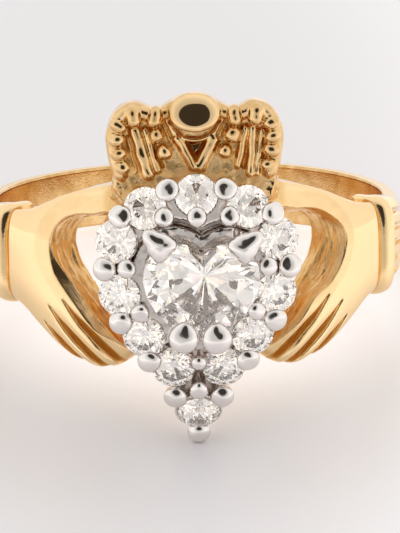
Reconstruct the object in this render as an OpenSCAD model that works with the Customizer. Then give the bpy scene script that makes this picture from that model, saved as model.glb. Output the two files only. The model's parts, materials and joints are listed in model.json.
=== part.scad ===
// Claddagh ring: two hands hold a heart-shaped stone in a halo of round stones, under a crown.
// Millimetres. The ring is drawn with the finger hole along Z and the head at -Y, then laid
// down as it rests: on the tip of the heart and on the back of the band.

/* [Band] */
// Inside diameter, for the finger
finger_d = 17.2; // [15:0.1:21]
// Width of the plain band at the back
band_w = 2.75; // [2.2:0.05:3.6]
// Thickness of the band at the back
band_t = 1.0; // [0.8:0.05:1.4]
// How far the outside of the band falls off towards its edges
band_round = 0.45; // [0.25:0.05:0.6]

/* [Hands and cuffs] */
// Thickness of palm and fingers over the finger hole
hand_t = 1.7; // [1.4:0.05:2.1]
// Upper edge of the thumbs over the middle of the band
thumb_rise = 3.6; // [3.3:0.05:4]
// Lower edge of the fingers under the middle of the band
finger_drop = 4.5; // [4:0.05:5]
// How far palm and back of the hand fall off towards their edges
hand_round = 0.55; // [0.3:0.05:0.7]
// Width of a finger at its knuckle
finger_w = 0.86; // [0.7:0.02:1]
// Depth of the grooves between the fingers
groove_d = 0.42; // [0.2:0.02:0.55]
// Half the height of the cuff next to the hand
cuff_half = 2.1; // [1.8:0.05:2.4]
// How far the cuff roll stands over the cuff
roll_full = 0.3; // [0.15:0.05:0.45]
// Grooves in each ribbed sleeve
rib_count = 5; // [3:1:7]
// Depth of the sleeve grooves
rib_d = 0.16; // [0.08:0.02:0.25]

/* [Heart stone] */
// Width of the heart stone
heart_w = 5.0; // [4.4:0.1:5.6]
// Height of its lobes over the middle of the band
heart_up = 1.55; // [1.3:0.05:1.8]
// Depth of its point under the middle of the band
heart_down = 2.5; // [2.2:0.05:2.9]
// Girdle of the heart stone over the finger hole
heart_rise = 3.2; // [2.9:0.05:3.6]
// Turn of the heart stone about its point, in degrees
heart_turn = 2; // [-3:0.5:3]

/* [Halo] */
// Diameter of a halo stone
halo_d = 1.75; // [1.55:0.05:1.9]
// Gap between the heart stone and the widest halo stones
halo_gap = 0.07; // [0.05:0.01:0.3]
// Gap between the heart's lobes and the halo stone over them
cleft_gap = 1.03; // [0.8:0.01:1.3]
// Gap between the heart's point and the middle of the lowest halo stone
tail_gap = 3.75; // [3.5:0.05:4.1]
// Girdles of the halo over the finger hole, at the middle of the head
halo_rise = 3.25; // [3:0.05:3.5]
// Fall of the halo away from the middle, in mm per square mm
dome = 0.045; // [0.03:0.005:0.055]
// Extra lean of the lowest stone, in degrees
tail_lean = 8; // [0:1:12]

/* [Prongs] */
// Radius of an outer prong's head
outer_prong_r = 0.45; // [0.35:0.01:0.5]
// Radius of an inner prong's head
inner_prong_r = 0.34; // [0.26:0.01:0.4]
// Radius of a heart prong's head
heart_prong_r = 0.52; // [0.4:0.01:0.6]
// Radius of the prong at the lowest tip
tip_prong_r = 0.42; // [0.3:0.01:0.5]
// Length of a prong behind its head
prong_len = 1.0; // [0.9:0.05:1.1]
// Distance of outer prongs from the line between their two stones
prong_out = 0.52; // [0.4:0.02:0.6]

/* [Crown] */
// Radius of the crown's two side lobes
lobe_r = 1.33; // [1.1:0.01:1.5]
// Distance of the lobes' centres from the middle
lobe_x = 2.45; // [2.2:0.05:2.7]
// Height of the lobes' centres over the middle of the band
lobe_z = 5.95; // [5.8:0.05:6.4]
// Half width of the crown at its foot
crown_foot = 3.45; // [3:0.05:3.7]
// Half width of the ball at the top
ball_a = 1.03; // [0.8:0.01:1.2]
// Half height of that ball
ball_c = 0.86; // [0.7:0.01:1]
// Thickness of the crown behind its relief
crown_t = 1.0; // [0.8:0.05:1.2]
// Height of the rim and the relief over that
relief_h = 0.5; // [0.3:0.05:0.6]
// Width of the crown's plain rim
rim_w = 0.3; // [0.2:0.01:0.4]

/* [Backs and fits] */
// Thickness of the gold wall behind the head
back_t = 0.7; // [0.5:0.05:0.8]
// Thickness of the white gold gallery
gallery_t = 1.35; // [1:0.05:1.5]
// Gap between stones and metal
stone_fit = 0.03; // [0.02:0.01:0.05]
// Gap between the gallery and the gold behind it
head_fit = 0.05; // [0.03:0.01:0.1]

/* [Hidden] */
HALO_COUNT = 12;

function halo_name(i) = str("halo_stone_", i < 10 ? "0" : "", i);

GOLD = "goldenrod";
WHITE_GOLD = "silver";
DIAMOND = "aliceblue";

// Radii from the axis of the finger hole
bore_r = finger_d / 2;
hand_r = bore_r + hand_t;
back_r = bore_r + back_t;
halo_y = bore_r + halo_rise;
heart_y = bore_r + heart_rise;
gallery_y = back_r + head_fit;
// The crown's back lies this much behind the front of the gold wall, so that they join
CROWN_LAP = 0.2;
crown_y = back_r - CROWN_LAP;
crown_face = crown_y + crown_t;

// Edges of the hand by angle from the front: [degrees, share of thumb_rise]
THUMB_EDGE = [[0, 1], [16, 1], [20, 0.985], [24, 0.96], [28, 0.93], [32, 0.885], [36, 0.81],
    [40, 0.73], [44, 0.65], [48, 0.6], [50.5, 0.575]];
// The same for the lower edge: [degrees, share of finger_drop]
FINGER_EDGE = [[0, 0.84], [14, 0.86], [17, 0.9], [20, 0.955], [23, 0.99], [26, 1], [30, 0.967],
    [34, 0.9], [38, 0.8], [42, 0.69], [46, 0.56], [48, 0.51], [50.5, 0.47]];

// The cuff: roll from 50.5 to 58.5 degrees, ribbed sleeve to 83 degrees, then plain band
ROLL_FROM = 50.5;
ROLL_TO = 58.5;
SLEEVE_TO = 83;
roll_mid = (ROLL_FROM + ROLL_TO) / 2;
// Flare of the sleeve: [degrees, share of the way from the band up to the cuff]
FLARE = [[ROLL_TO, 1], [63, 0.93], [68, 0.72], [74, 0.38], [79, 0.1], [SLEEVE_TO, 0]];
// Radius under roll and sleeve: [degrees, share of the way from band to palm]
FULLNESS = [[ROLL_FROM, 0.55], [ROLL_TO, 0.75], [63, 0.7], [70, 0.5], [78, 0.2], [SLEEVE_TO, 0]];
// Depth of the sleeve grooves along them: [degrees, share of rib_d]
RIB_RUN = [[59.5, 0], [61, 0.9], [66, 1], [72, 1], [80, 0]];

// Angles of the cross-sections over one half of the ring, front to back
STATIONS = [0, 8, 16, 20, 22, 24, 28, 32, 36, 40, 44, 47, 49.3, 50.5, 51.2, 52.5, 54.5, 56.5, 57.8,
    58.5, 59.5, 61, 64, 67, 71, 75, 79, 83, 91, 99, 107, 115, 123, 131, 138, 144, 150, 155, 160, 164,
    168, 171, 174, 177, 180];

// How far the sweep reaches into the finger hole before that is bored
BORE_SPARE = 0.6;

// Across a section, shares of its half height from lower to upper edge; each rib is three points
RIB_SPREAD = 0.68;
RIB_HALF = 0.09;
function rib_at(i) = rib_count < 2 ? 0 : RIB_SPREAD * (2 * i / (rib_count - 1) - 1);
ACROSS = concat([-1, -0.95, -0.86],
    [for (i = [0:rib_count - 1]) each [rib_at(i) - RIB_HALF, rib_at(i), rib_at(i) + RIB_HALF]],
    [0.86, 0.95, 1]);
function rib_share(u) = max([for (i = [0:rib_count - 1]) abs(u - rib_at(i)) < 0.001 ? 1 : 0]);

function roll_share(a) = let (t = (a - roll_mid) / ((ROLL_TO - ROLL_FROM) / 2)) abs(t) < 1 ? sqrt(1 - t * t) : 0;
function cuff_edge(a) = a < ROLL_TO
    ? cuff_half + roll_full * 0.85 * roll_share(a)
    : band_w / 2 + (cuff_half - band_w / 2) * lookup(a, FLARE);
function upper_edge(a) = a < ROLL_FROM ? thumb_rise * lookup(a, THUMB_EDGE) : cuff_edge(a);
function lower_edge(a) = a < ROLL_FROM ? -finger_drop * lookup(a, FINGER_EDGE) : -cuff_edge(a);
function outer_r(a) = a < ROLL_FROM
    ? min(hand_r - 0.3 * roll_full * lookup(a, [[47, 0], [49.3, 1], [ROLL_FROM, 2]]), back_r / cos(min(a, 45)))
    : bore_r + band_t + (hand_r - bore_r - band_t) * lookup(a, FULLNESS) + 2 * roll_full * roll_share(a);
function edge_round(a) = band_round + (hand_round - band_round) * lookup(a, [[ROLL_TO, 1], [SLEEVE_TO, 0]]);
function edge_power(a) = lookup(a, [[ROLL_TO, 4.5], [SLEEVE_TO, 2.4]]);
// The floor of the finger grooves, under the fingers only
function finger_floor(a, z) = groove_d * lookup(a, [[33, 1], [42, 0]]) * lookup(z, [[-1.3, 1], [-0.6, 0]]);

// One cross-section of band, cuff or hand: [radius, height] from the inner lower to the inner upper edge
function section(a) = let (top = upper_edge(a), low = lower_edge(a), r = outer_r(a), p = edge_power(a))
    concat([[bore_r - BORE_SPARE, low]],
        [for (u = ACROSS) let (z = (top + low) / 2 + u * (top - low) / 2)
            [r - edge_round(a) * pow(abs(u), p) - rib_share(u) * rib_d * lookup(a, RIB_RUN)
                - finger_floor(a, z), z]],
        [[bore_r - BORE_SPARE, top]]);
function around(a, r, z) = [r * sin(a), -r * cos(a), z];

// A closed skin over rings of points; with loop it runs back into its first ring
module skin(rings, loop = false) {
    n = len(rings);
    m = len(rings[0]);
    sides = [for (i = [0:loop ? n - 1 : n - 2]) for (j = [0:m - 1])
        let (a = i * m + j, b = i * m + (j + 1) % m, c = (i + 1) % n * m + (j + 1) % m, d = (i + 1) % n * m + j)
        each [[a, b, c], [a, c, d]]];
    caps = loop ? [] : [[for (j = [m - 1:-1:0]) j], [for (j = [0:m - 1]) (n - 1) * m + j]];
    polyhedron(points = [for (ring = rings) each ring], faces = concat(sides, caps), convexity = 6);
}

// Band, sleeves, cuff rolls and palms in one closed sweep around the finger hole
module shank() {
    last = len(STATIONS) - 1;
    angles = concat([for (i = [last:-1:1]) -STATIONS[i]], [for (i = [0:last - 1]) STATIONS[i]]);
    skin([for (a = angles) [for (p = section(abs(a))) around(a, p[0], p[1])]], loop = true);
}

// Opening between hand and heart: [degrees, height as a share of thumb_rise or finger_drop]
OPENING = [[20.5, 0.63], [26, 0.64], [30.5, 0.61], [33.8, 0.55], [36.2, 0.42], [37.4, 0.24], [37.1, 0.08],
    [35.8, -0.04], [34, -0.13], [31.5, -0.24], [28.5, -0.38], [25.7, -0.52], [22.5, -0.66],
    [19.5, -0.77], [17.4, -0.8], [15.5, -0.74], [17, -0.55], [21, 0]];
OPENING_DIR = 29;
module opening() {
    r = (bore_r + hand_r) / 2;
    outline = [for (p = OPENING) [r * sin(p[0] - OPENING_DIR), p[1] * (p[1] > 0 ? thumb_rise : finger_drop)]];
    rotate([0, 0, OPENING_DIR]) rotate([90, 0, 0])
        linear_extrude(height = hand_r + 2) polygon(outline);
}

// Fingers, forefinger first: for each, [degrees, share of finger_drop below the middle] along it
FINGERS = [
    [[39.5, 0.02], [34.4, 0.2], [30.3, 0.4], [26.2, 0.59], [22, 0.76], [18.6, 0.86], [16.4, 0.87]],
    [[42, 0.2], [36.6, 0.37], [32.5, 0.54], [28.4, 0.7], [25, 0.84], [21.9, 0.94], [20.3, 0.965]],
    [[44, 0.34], [39.4, 0.49], [35.5, 0.65], [32, 0.79], [29, 0.89], [26.3, 0.965], [25, 0.985]],
    [[45, 0.44], [41, 0.6], [37.5, 0.74], [34.4, 0.85], [32, 0.92], [30, 0.955], [28.6, 0.97]]];
// Along a finger: share of its width, and how far its middle lies under the palm as a share of groove_d
FINGER_FULL = [0.85, 1, 1, 0.98, 0.94, 0.86, 0.5];
FINGER_SINK = [0.5, 0.1, 0, 0, 0, 0.35, 0.9];
FINGER_SIDES = 10;
// Depth of a finger's middle under the radius of the hand, and its extra half thickness outwards
FINGER_DEEP = 0.48;
FINGER_PLUMP = 0.07;
function unit(v) = v / norm(v);
module finger(path) {
    last = len(path) - 1;
    spot = [for (k = [0:last])
        around(path[k][0], hand_r - FINGER_DEEP - groove_d * FINGER_SINK[k], -finger_drop * path[k][1])];
    rings = [for (k = [0:last])
        let (along = unit(spot[min(k + 1, last)] - spot[max(k - 1, 0)]),
             out = unit([spot[k][0], spot[k][1], 0]), side = unit(cross(along, out)),
             half = finger_w / 2 * FINGER_FULL[k])
        [for (j = [0:FINGER_SIDES - 1]) let (t = 360 * j / FINGER_SIDES)
            spot[k] + half * cos(t) * side + (half + FINGER_PLUMP) * sin(t) * out]];
    skin(rings);
}

// Halo stones down one side: [share of halo half width, share of the height over or under the middle]
HALO = [[0, 1], [0.63, 0.846], [1, 0.435], [0.965, -0.127], [0.67, -0.422], [0.315, -0.65], [0, -1]];
halo_x = heart_w / 2 + halo_gap + halo_d / 2;
halo_up = heart_up + cleft_gap + halo_d / 2;
halo_down = heart_down + tail_gap;
function share_xz(s, up, down) = [s[0] * halo_x, s[1] * (s[1] > 0 ? up : down)];
SIDE = [for (s = HALO) share_xz(s, halo_up, halo_down)];
// All twelve in turn, from the top one clockwise as seen from the front
RING = concat(SIDE, [for (i = [5:-1:1]) [-SIDE[i][0], SIDE[i][1]]]);

function dome_y(p) = -halo_y + dome * (p[0] * p[0] + p[1] * p[1]);
function dome_rise(p, lean) = atan2(2 * dome * p[1], sqrt(1 + pow(2 * dome * p[0], 2))) - lean;
// Puts things on the domed head with their +Z pointing out of it
module on_dome(p, lean = 0) {
    translate([p[0], dome_y(p), p[1]]) rotate([90 - dome_rise(p, lean), 0, atan(2 * dome * p[0])]) children();
}
// Only the lowest stone leans by itself
LOWEST = 6;
function stone_lean(i) = i == LOWEST ? tail_lean : 0;

// Cut stones, by rings from table to culet: [share of the outline, height as a share of the width]
TABLE = [0.56, 0.155];
CROWN_MID = [0.8, 0.1];
GIRDLE_HALF = 0.018;
CULET = -0.44;
// The even points of the outline bear the main facets, the odd ones the points between them
module brilliant(outline, width, grow = 0) {
    n = len(outline);
    half = n / 2;
    f = 1 + 2 * grow / width;
    function at(k, share, h) = let (p = outline[(k + n) % n]) [p[0] * share * f, p[1] * share * f, h * width + sign(h) * grow];
    table = [for (k = [0:half - 1]) at(2 * k, TABLE[0], TABLE[1])];
    mids = [for (k = [0:half - 1]) at(2 * k + 1, CROWN_MID[0], CROWN_MID[1])];
    upper = [for (k = [0:n - 1]) at(k, 1, GIRDLE_HALF)];
    lower = [for (k = [0:n - 1]) at(k, 1, -GIRDLE_HALF)];
    points = concat(table, mids, upper, lower,
        [[0, 0, TABLE[1] * width + grow], [0, 0, CULET * width - grow]]);
    m0 = half;
    u0 = 2 * half;
    l0 = u0 + n;
    top = l0 + n;
    tip = top + 1;
    faces = [for (k = [0:half - 1])
        let (t = k, t1 = (k + 1) % half, m = m0 + k, mb = m0 + (k + half - 1) % half,
             g = u0 + 2 * k, g1 = u0 + 2 * k + 1, g2 = u0 + (2 * k + 2) % n)
        each [[top, t, t1], [t, m, t1], [t, g, m], [t, mb, g], [m, g, g1], [m, g1, g2]]];
    sides = [for (k = [0:n - 1]) let (k1 = (k + 1) % n)
        each [[u0 + k, l0 + k1, u0 + k1], [u0 + k, l0 + k, l0 + k1], [l0 + k, tip, l0 + k1]]];
    polyhedron(points = points, faces = concat(faces, sides), convexity = 4);
}

ROUND_STEPS = 16;
ROUND = [for (k = [0:ROUND_STEPS - 1]) let (t = 360 * k / ROUND_STEPS) halo_d / 2 * [sin(t), cos(t)]];
module halo_cut() brilliant(ROUND, halo_d);
// The room it needs, turned in one piece
module halo_seat() let (r = halo_d / 2, f = 1 + stone_fit / r) rotate_extrude($fn = 32)
    polygon([[0, CULET * halo_d - stone_fit], [r * f, -GIRDLE_HALF * halo_d - stone_fit],
        [r * f, GIRDLE_HALF * halo_d + stone_fit], [CROWN_MID[0] * r * f, CROWN_MID[1] * halo_d + stone_fit],
        [TABLE[0] * r * f, TABLE[1] * halo_d + stone_fit], [0, TABLE[1] * halo_d + stone_fit]]);

// The heart: a lobe arc on each side and slightly bowed flanks down to the point
LOBE_SHARE = 0.52;
heart_lobe_r = LOBE_SHARE * heart_w / 2;
heart_lobe_x = heart_w / 2 - heart_lobe_r;
heart_lobe_z = heart_up - heart_lobe_r;
cleft_angle = acos(heart_lobe_x / heart_lobe_r);
FLANK_ANGLE = -28;
FLANK_BOW = 0.05;
heart_mid = [0, -0.12 * heart_w];
function lobe_point(a) = [heart_lobe_x + heart_lobe_r * cos(a), heart_lobe_z + heart_lobe_r * sin(a)];
function flank_point(t) = let (a = lobe_point(FLANK_ANGLE), b = [0, -heart_down], d = b - a)
    a + t * d + FLANK_BOW * 4 * t * (1 - t) * [-d[1], d[0]];
LOBE_STEPS = 10;
FLANK_STEPS = 6;
HEART_RIGHT = concat(
    [for (k = [0:LOBE_STEPS]) lobe_point(180 - cleft_angle + k * (FLANK_ANGLE - 180 + cleft_angle) / LOBE_STEPS)],
    [for (k = [1:FLANK_STEPS]) flank_point(k / FLANK_STEPS)]);
HEART = concat(HEART_RIGHT, [for (k = [len(HEART_RIGHT) - 2:-1:1]) [-HEART_RIGHT[k][0], HEART_RIGHT[k][1]]]);
// Puts things on the heart stone's girdle, turned with it about its point, +Z out of the head
module on_heart() translate([0, -heart_y, -heart_down]) rotate([90, 0, 0]) rotate(-heart_turn) children();
module heart_cut(grow = 0)
    on_heart() translate([0, heart_down + heart_mid[1]])
        brilliant([for (p = HEART) p - heart_mid], heart_up + heart_down, grow);

// How far the gallery reaches past the middles of the halo stones
GALLERY_MARGIN = 0.1;

// A flat piece of the head, drawn from the front and given its back and front distance from the axis
module slab(back, front) translate([0, -back, 0]) rotate([90, 0, 0]) linear_extrude(height = front - back) children();

// The heart-shaped gold back under the cluster, and the round hole through it behind the heart stone
BACK_MARGIN = 0.5;
// Its flat back passes over the bore at this distance
BACK_SPARE = 0.12;
light_r = 0.75 * heart_w / 2;
light_z = heart_lobe_z - 0.35 * heart_lobe_r;
module gold_back() slab(bore_r + BACK_SPARE, back_r) offset(r = BACK_MARGIN, $fn = 20) polygon(RING);
module light_hole() translate([0, 0, light_z]) rotate([90, 0, 0]) cylinder(r = light_r, h = gallery_y, $fn = 36);

// Crown outline: two lobes, the cap over the ball, and the body down to the foot
BALL_OVER = 0.75;
ball_z = lobe_z + BALL_OVER;
crown_low = halo_up + GALLERY_MARGIN + head_fit;
// The cap runs round the ball at a little distance: shares of the ball's half width and half height
CAP = [1.2, 1.03];
// How far the body reaches up between the lobes
CROWN_BODY = 0.8;
module crown_outline() {
    for (s = [-1, 1]) translate([s * lobe_x, lobe_z]) circle(r = lobe_r, $fn = 40);
    translate([0, ball_z]) scale([CAP[0] * ball_a / ball_c, CAP[1]]) circle(r = ball_c, $fn = 40);
    polygon([[-crown_foot, crown_low], [crown_foot, crown_low], [lobe_x + lobe_r, lobe_z],
        [lobe_x, lobe_z + CROWN_BODY], [-lobe_x, lobe_z + CROWN_BODY], [-lobe_x - lobe_r, lobe_z]]);
}
// Relief on one half: [share of lobe reach across, share of the way from foot to lobe top, radius]
BEADS = [[0.86, 0.8, 0.33], [0.87, 0.62, 0.34], [0.845, 0.44, 0.32], [0.8, 0.26, 0.29],
    [0.67, 0.86, 0.4], [0.465, 0.85, 0.36], [0.42, 0.64, 0.31], [0.335, 0.45, 0.29]];
// How far the middles of the beads lie over the sunk face
BEAD_OVER = 0.08;
// Bars: [share across at the top, share of the height there, the same at the lower end, width]
BARS = [[0.68, 0.7, 0.53, 0.22, 0.34], [0.565, 0.69, 0.43, 0.23, 0.28], [0.18, 0.62, 0.02, 0.26, 0.36]];
// The middle of a bar over the sunk face, as a share of its width
BAR_OVER = 0.25;
relief_x = lobe_x + lobe_r;
function relief_z(s) = crown_low + s * (lobe_z + lobe_r - crown_low);
module bar(b) {
    p = [b[0] * relief_x, relief_z(b[1])];
    q = [b[2] * relief_x, relief_z(b[3])];
    translate([q[0], -crown_face - BAR_OVER * b[4], q[1]]) rotate([0, atan2(p[0] - q[0], p[1] - q[1]), 0])
        cylinder(r = b[4] / 2, h = norm(p - q), $fn = 24);
}
// The rim ends where the flat foot begins, at this share of the way up
FOOT_END = 0.24;
// The foot runs down behind the gallery: its distance over the bore, its inset at the sides, and how
// far it reaches over and under the crown's lower edge
FOOT = [0.1, 0.1, 0.6, 1];
FOOT_BEHIND = 0.05;
// The web from the crown's foot out to the thumb: [mm out from the foot, mm over the thumb's edge]
WEB = [[-0.45, -0.6], [1.1, -0.5], [0.45, 0.1], [0.15, 0.8], [-0.45, 0.8]];
// Its back over the bore, and its front behind the sunk face
WEB_DEPTHS = [0.25, 0.3];
module crown() {
    difference() {
        slab(crown_y, crown_face + 0.8 * relief_h) crown_outline();
        slab(crown_face, crown_face + relief_h) {
            offset(delta = -rim_w) crown_outline();
            translate([-2 * relief_x, 0]) square([4 * relief_x, relief_z(FOOT_END)]);
        }
    }
    slab(bore_r + FOOT[0], back_r - FOOT_BEHIND) translate([FOOT[1] - crown_foot, crown_low - FOOT[3]])
        square([2 * (crown_foot - FOOT[1]), FOOT[2] + FOOT[3]]);
    translate([0, -crown_face, ball_z]) scale([ball_a / ball_c, 0.95, 1]) sphere(r = ball_c, $fn = 28);
    for (s = [0, 1]) mirror([s, 0, 0]) {
        for (b = BEADS) translate([b[0] * relief_x, -crown_face - BEAD_OVER, relief_z(b[1])])
            sphere(r = b[2], $fn = 24);
        for (b = BARS) bar(b);
        slab(bore_r + WEB_DEPTHS[0], crown_face - WEB_DEPTHS[1])
            polygon([for (w = WEB) [crown_foot + w[0], thumb_rise + w[1]]]);
    }
}

// The yellow gold casting, bored for the finger and pierced behind the heart stone
module gold_ring() resting() color(GOLD) difference() {
    union() {
        difference() {
            shank();
            for (s = [0, 1]) mirror([s, 0, 0]) opening();
        }
        gold_back();
        crown();
        for (s = [0, 1]) mirror([s, 0, 0]) for (path = FINGERS) finger(path);
    }
    translate([0, 0, -2 * finger_drop]) cylinder(r = bore_r, h = 4 * finger_drop, $fn = 160);
    light_hole();
}

// Prongs stand between neighbouring halo stones, outside and inside the row
function mid(i) = (RING[i] + RING[(i + 1) % HALO_COUNT]) / 2;
function outward(i) = let (d = RING[(i + 1) % HALO_COUNT] - RING[i]) unit([-d[1], d[0]]);
// The ball of a prong's head stands this far over the girdles; its post is thinner, and more so at its foot
PRONG_LIFT = 0.12;
POST = [0.75, 0.9];
module prong(p, r, lean = 0) on_dome(p, lean) translate([0, 0, PRONG_LIFT]) {
    sphere(r = r, $fn = 24);
    translate([0, 0, -prong_len]) cylinder(r1 = POST[0] * r, r2 = POST[1] * r, h = prong_len, $fn = 24);
}
// Inner prongs that stand alone: [share of halo_x, share of the height as for the halo, radius share]
INNER = [[0, 0.74, 1.05], [0.4, 0.735, 1.05], [-0.4, 0.735, 1.05], [0, -0.6, 0.9], [0, -0.815, 1.05]];
// The halo gaps with one more inner prong: beside the second and third stones of each side
INNER_BESIDE = [2, 3, 8, 9];
// Distance of those from the line between their two stones
PRONG_IN = 0.42;
TIP_GAP = 0.05;
tip_point = [0, -halo_down - halo_d / 2 - TIP_GAP];
// Heart prongs: two claws over the lobes and two beside the point
CLAW_ANGLE = 62;
claw_point = lobe_point(CLAW_ANGLE);
toe_point = [0.28 * heart_w / 2, -heart_down - 0.07];
CLAW_LIFT = 0.16;
// The posts of the heart prongs stand in the gallery down to this distance from its back
HEART_ROOT = 0.3;
heart_prong_len = heart_y + CLAW_LIFT - gallery_y - HEART_ROOT;
module heart_prong(p) on_heart() translate([p[0], p[1] + heart_down, CLAW_LIFT]) {
    sphere(r = heart_prong_r, $fn = 24);
    translate([0, 0, -heart_prong_len])
        cylinder(r1 = POST[0] * heart_prong_r, r2 = POST[1] * heart_prong_r, h = heart_prong_len, $fn = 24);
}
// A cup: its rim under the girdle and its height in mm, then foot and rim as shares of the stone's radius
CUP = [0.15, 0.85, 0.62, 0.99];
module cup(i) on_dome(RING[i], stone_lean(i)) translate([0, 0, -CUP[0] - CUP[1]])
    cylinder(r1 = CUP[2] * halo_d / 2, r2 = CUP[3] * halo_d / 2, h = CUP[1], $fn = 32);
// The thinner tail of the gallery under the lowest stone: thickness, half width at its end
TAIL = [0.6, 0.45];
module gallery() {
    slab(gallery_y, gallery_y + gallery_t) offset(r = GALLERY_MARGIN, $fn = 12)
        polygon([for (i = [0:HALO_COUNT - 1]) if (i != LOWEST) RING[i]]);
    slab(gallery_y, gallery_y + TAIL[0])
        polygon([RING[LOWEST + 1], RING[LOWEST - 1], [TAIL[1], -halo_down], [-TAIL[1], -halo_down]]);
}

// The white gold setting: gallery, a cup under each stone, and all the prongs, seated to the stones
module cluster_setting() resting() color(WHITE_GOLD) difference() {
    union() {
        gallery();
        for (i = [0:HALO_COUNT - 1]) cup(i);
        for (i = [0:HALO_COUNT - 1]) prong(mid(i) + prong_out * outward(i), outer_prong_r);
        for (i = INNER_BESIDE) prong(mid(i) - PRONG_IN * outward(i), inner_prong_r);
        for (s = INNER) prong(share_xz(s, halo_up, halo_down), inner_prong_r * s[2]);
        prong(tip_point, tip_prong_r, lean = tail_lean);
        for (s = [-1, 1]) {
            heart_prong([s * claw_point[0], claw_point[1]]);
            heart_prong([s * toe_point[0], toe_point[1]]);
        }
    }
    heart_cut(stone_fit);
    for (i = [0:HALO_COUNT - 1]) halo_place(i) halo_seat();
    // The lowest cup leans over the gold back, so its foot ends flush with the gallery's back
    slab(bore_r, gallery_y) translate([-halo_d, -halo_down - halo_d]) square(2 * halo_d);
}

module halo_place(i) on_dome(RING[i], stone_lean(i)) children();
module heart_stone() resting() color(DIAMOND) heart_cut();
module halo_stone(i) resting() color(DIAMOND) halo_place(i) halo_cut();

// The lean at rest: the line under the ring touches the ball of the tip prong and the edge of the
// band's back, seen from the side. A corner is [distance back from the axis, height].
tip_rise = dome_rise(tip_point, tail_lean);
tip_ball = [dome_y(tip_point), tip_point[1]] + PRONG_LIFT * [-cos(tip_rise), sin(tip_rise)];
BACK_EDGE = concat([[bore_r, -band_w / 2]],
    [for (u = ACROSS) [bore_r + band_t - band_round * pow(abs(u), edge_power(180)), u * band_w / 2]]);
function touch_angle(c) = let (d = c - tip_ball) atan2(d[1], d[0]) + asin(tip_prong_r / norm(d));
lean = min([for (c = BACK_EDGE) touch_angle(c)]);
// Where the box of the resting ring has its middle
front_y = (-heart_y - TABLE[1] * (heart_up + heart_down)) * cos(lean)
    + (heart_mid[1] + TABLE[0] * (-heart_down - heart_mid[1])) * sin(lean);
back_y = max([for (c = BACK_EDGE) c[0] * cos(lean) - c[1] * sin(lean)]);
floor_z = min([for (c = BACK_EDGE) -c[0] * sin(lean) + c[1] * cos(lean)]);
module resting() translate([0, -(front_y + back_y) / 2, -floor_z]) rotate([-lean, 0, 0]) children();

gold_ring();
cluster_setting();
heart_stone();
for (i = [1:HALO_COUNT]) halo_stone(i - 1);
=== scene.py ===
"""A claddagh ring: two cast gold hands hold a diamond heart in a halo of brilliants, under a crown.

All shapes are worked out in the ring's own frame in millimetres: the finger hole runs along Z, the
head looks along -Y, and the ring's right is +X. RestingPose lays them down as the ring rests.
"""

import json
import logging
import math
from dataclasses import dataclass
from enum import Enum
from functools import cached_property, partial
from typing import Callable

import bpy
import numpy as np
from mathutils import Matrix, Vector


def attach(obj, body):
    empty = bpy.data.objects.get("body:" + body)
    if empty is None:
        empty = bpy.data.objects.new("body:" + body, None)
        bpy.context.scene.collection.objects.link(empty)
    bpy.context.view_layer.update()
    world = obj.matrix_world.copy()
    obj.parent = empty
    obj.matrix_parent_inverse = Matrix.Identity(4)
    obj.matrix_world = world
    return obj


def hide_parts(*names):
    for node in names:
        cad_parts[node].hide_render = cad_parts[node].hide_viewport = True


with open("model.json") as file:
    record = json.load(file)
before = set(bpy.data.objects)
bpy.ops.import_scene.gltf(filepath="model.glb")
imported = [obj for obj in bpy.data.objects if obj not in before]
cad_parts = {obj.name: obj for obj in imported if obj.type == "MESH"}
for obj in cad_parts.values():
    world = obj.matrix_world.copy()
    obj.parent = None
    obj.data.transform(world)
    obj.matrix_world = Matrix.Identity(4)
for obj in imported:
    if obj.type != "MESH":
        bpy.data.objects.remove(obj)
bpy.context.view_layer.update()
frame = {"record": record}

LOG = logging.getLogger("claddagh")
MM = 0.001

Array = np.ndarray
Field = Callable[[Array, Array, Array], Array]
Adder = Callable[..., bpy.types.Node]


class Side(Enum):
    """Which hand, seen from the front, as the sign of X."""

    LEFT = -1
    RIGHT = 1


class Slot(Enum):
    """The record's material slots."""

    YELLOW_GOLD = "yellow_gold"
    WHITE_GOLD = "white_gold"
    DIAMOND = "diamond"


# ---------------------------------------------------------------- measures that pieces share, in mm
BORE_R = 8.6
PALM_R = 10.3
BACK_R = 9.3
LIGHT_Z, LIGHT_R = -0.205, 1.875
ROLL_FROM = 53.2
ROLL_TO = 58.6
HALO_D = 1.83
HALO_X, HALO_UP, HALO_DOWN = 3.445, 3.455, 6.25
HALO_Y = 11.85
DOME = 0.045
TAIL_LEAN = 8.0
HEART_Y = 11.8
HEART_X, HEART_DOWN, HEART_TURN = 0.07, 2.5, 2.0
# Right half of the heart's girdle, from the cleft down to the point
HEART_HALF = ((0, 0.95), (0.36, 1.25), (0.8, 1.47), (1.25, 1.55), (1.72, 1.42), (2.13, 1.07),
              (2.38, 0.62), (2.5, 0.12), (2.46, -0.32), (2.33, -0.8), (2.1, -1.28), (1.76, -1.68),
              (1.3, -2.08), (0.7, -2.46), (0, -2.74))
HEART_MIDDLE, HEART_DEEP = (0.15, -0.06), 2.2
GALLERY_Y = 9.35
# The middle of the finger hole's mount lies this far from the middle of the band, along the hole
BORE_MIDDLE = -0.45

# Halo stones down one side: share of the half width, share of the height over or under the middle
HALO_SHARES = ((0, 1), (0.63, 0.846), (1, 0.435), (0.965, -0.127), (0.67, -0.422), (0.315, -0.65),
               (0, -1))


def halo_place(share: tuple[float, float]) -> Array:
    """Turns shares of the halo's half width and height into a place on its face.

    Args:
        share: across and up, up being a share of the upper or of the lower height.

    Returns:
        x and z in mm.
    """
    return np.array([share[0] * HALO_X, share[1] * (HALO_UP if share[1] > 0 else HALO_DOWN)])


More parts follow.
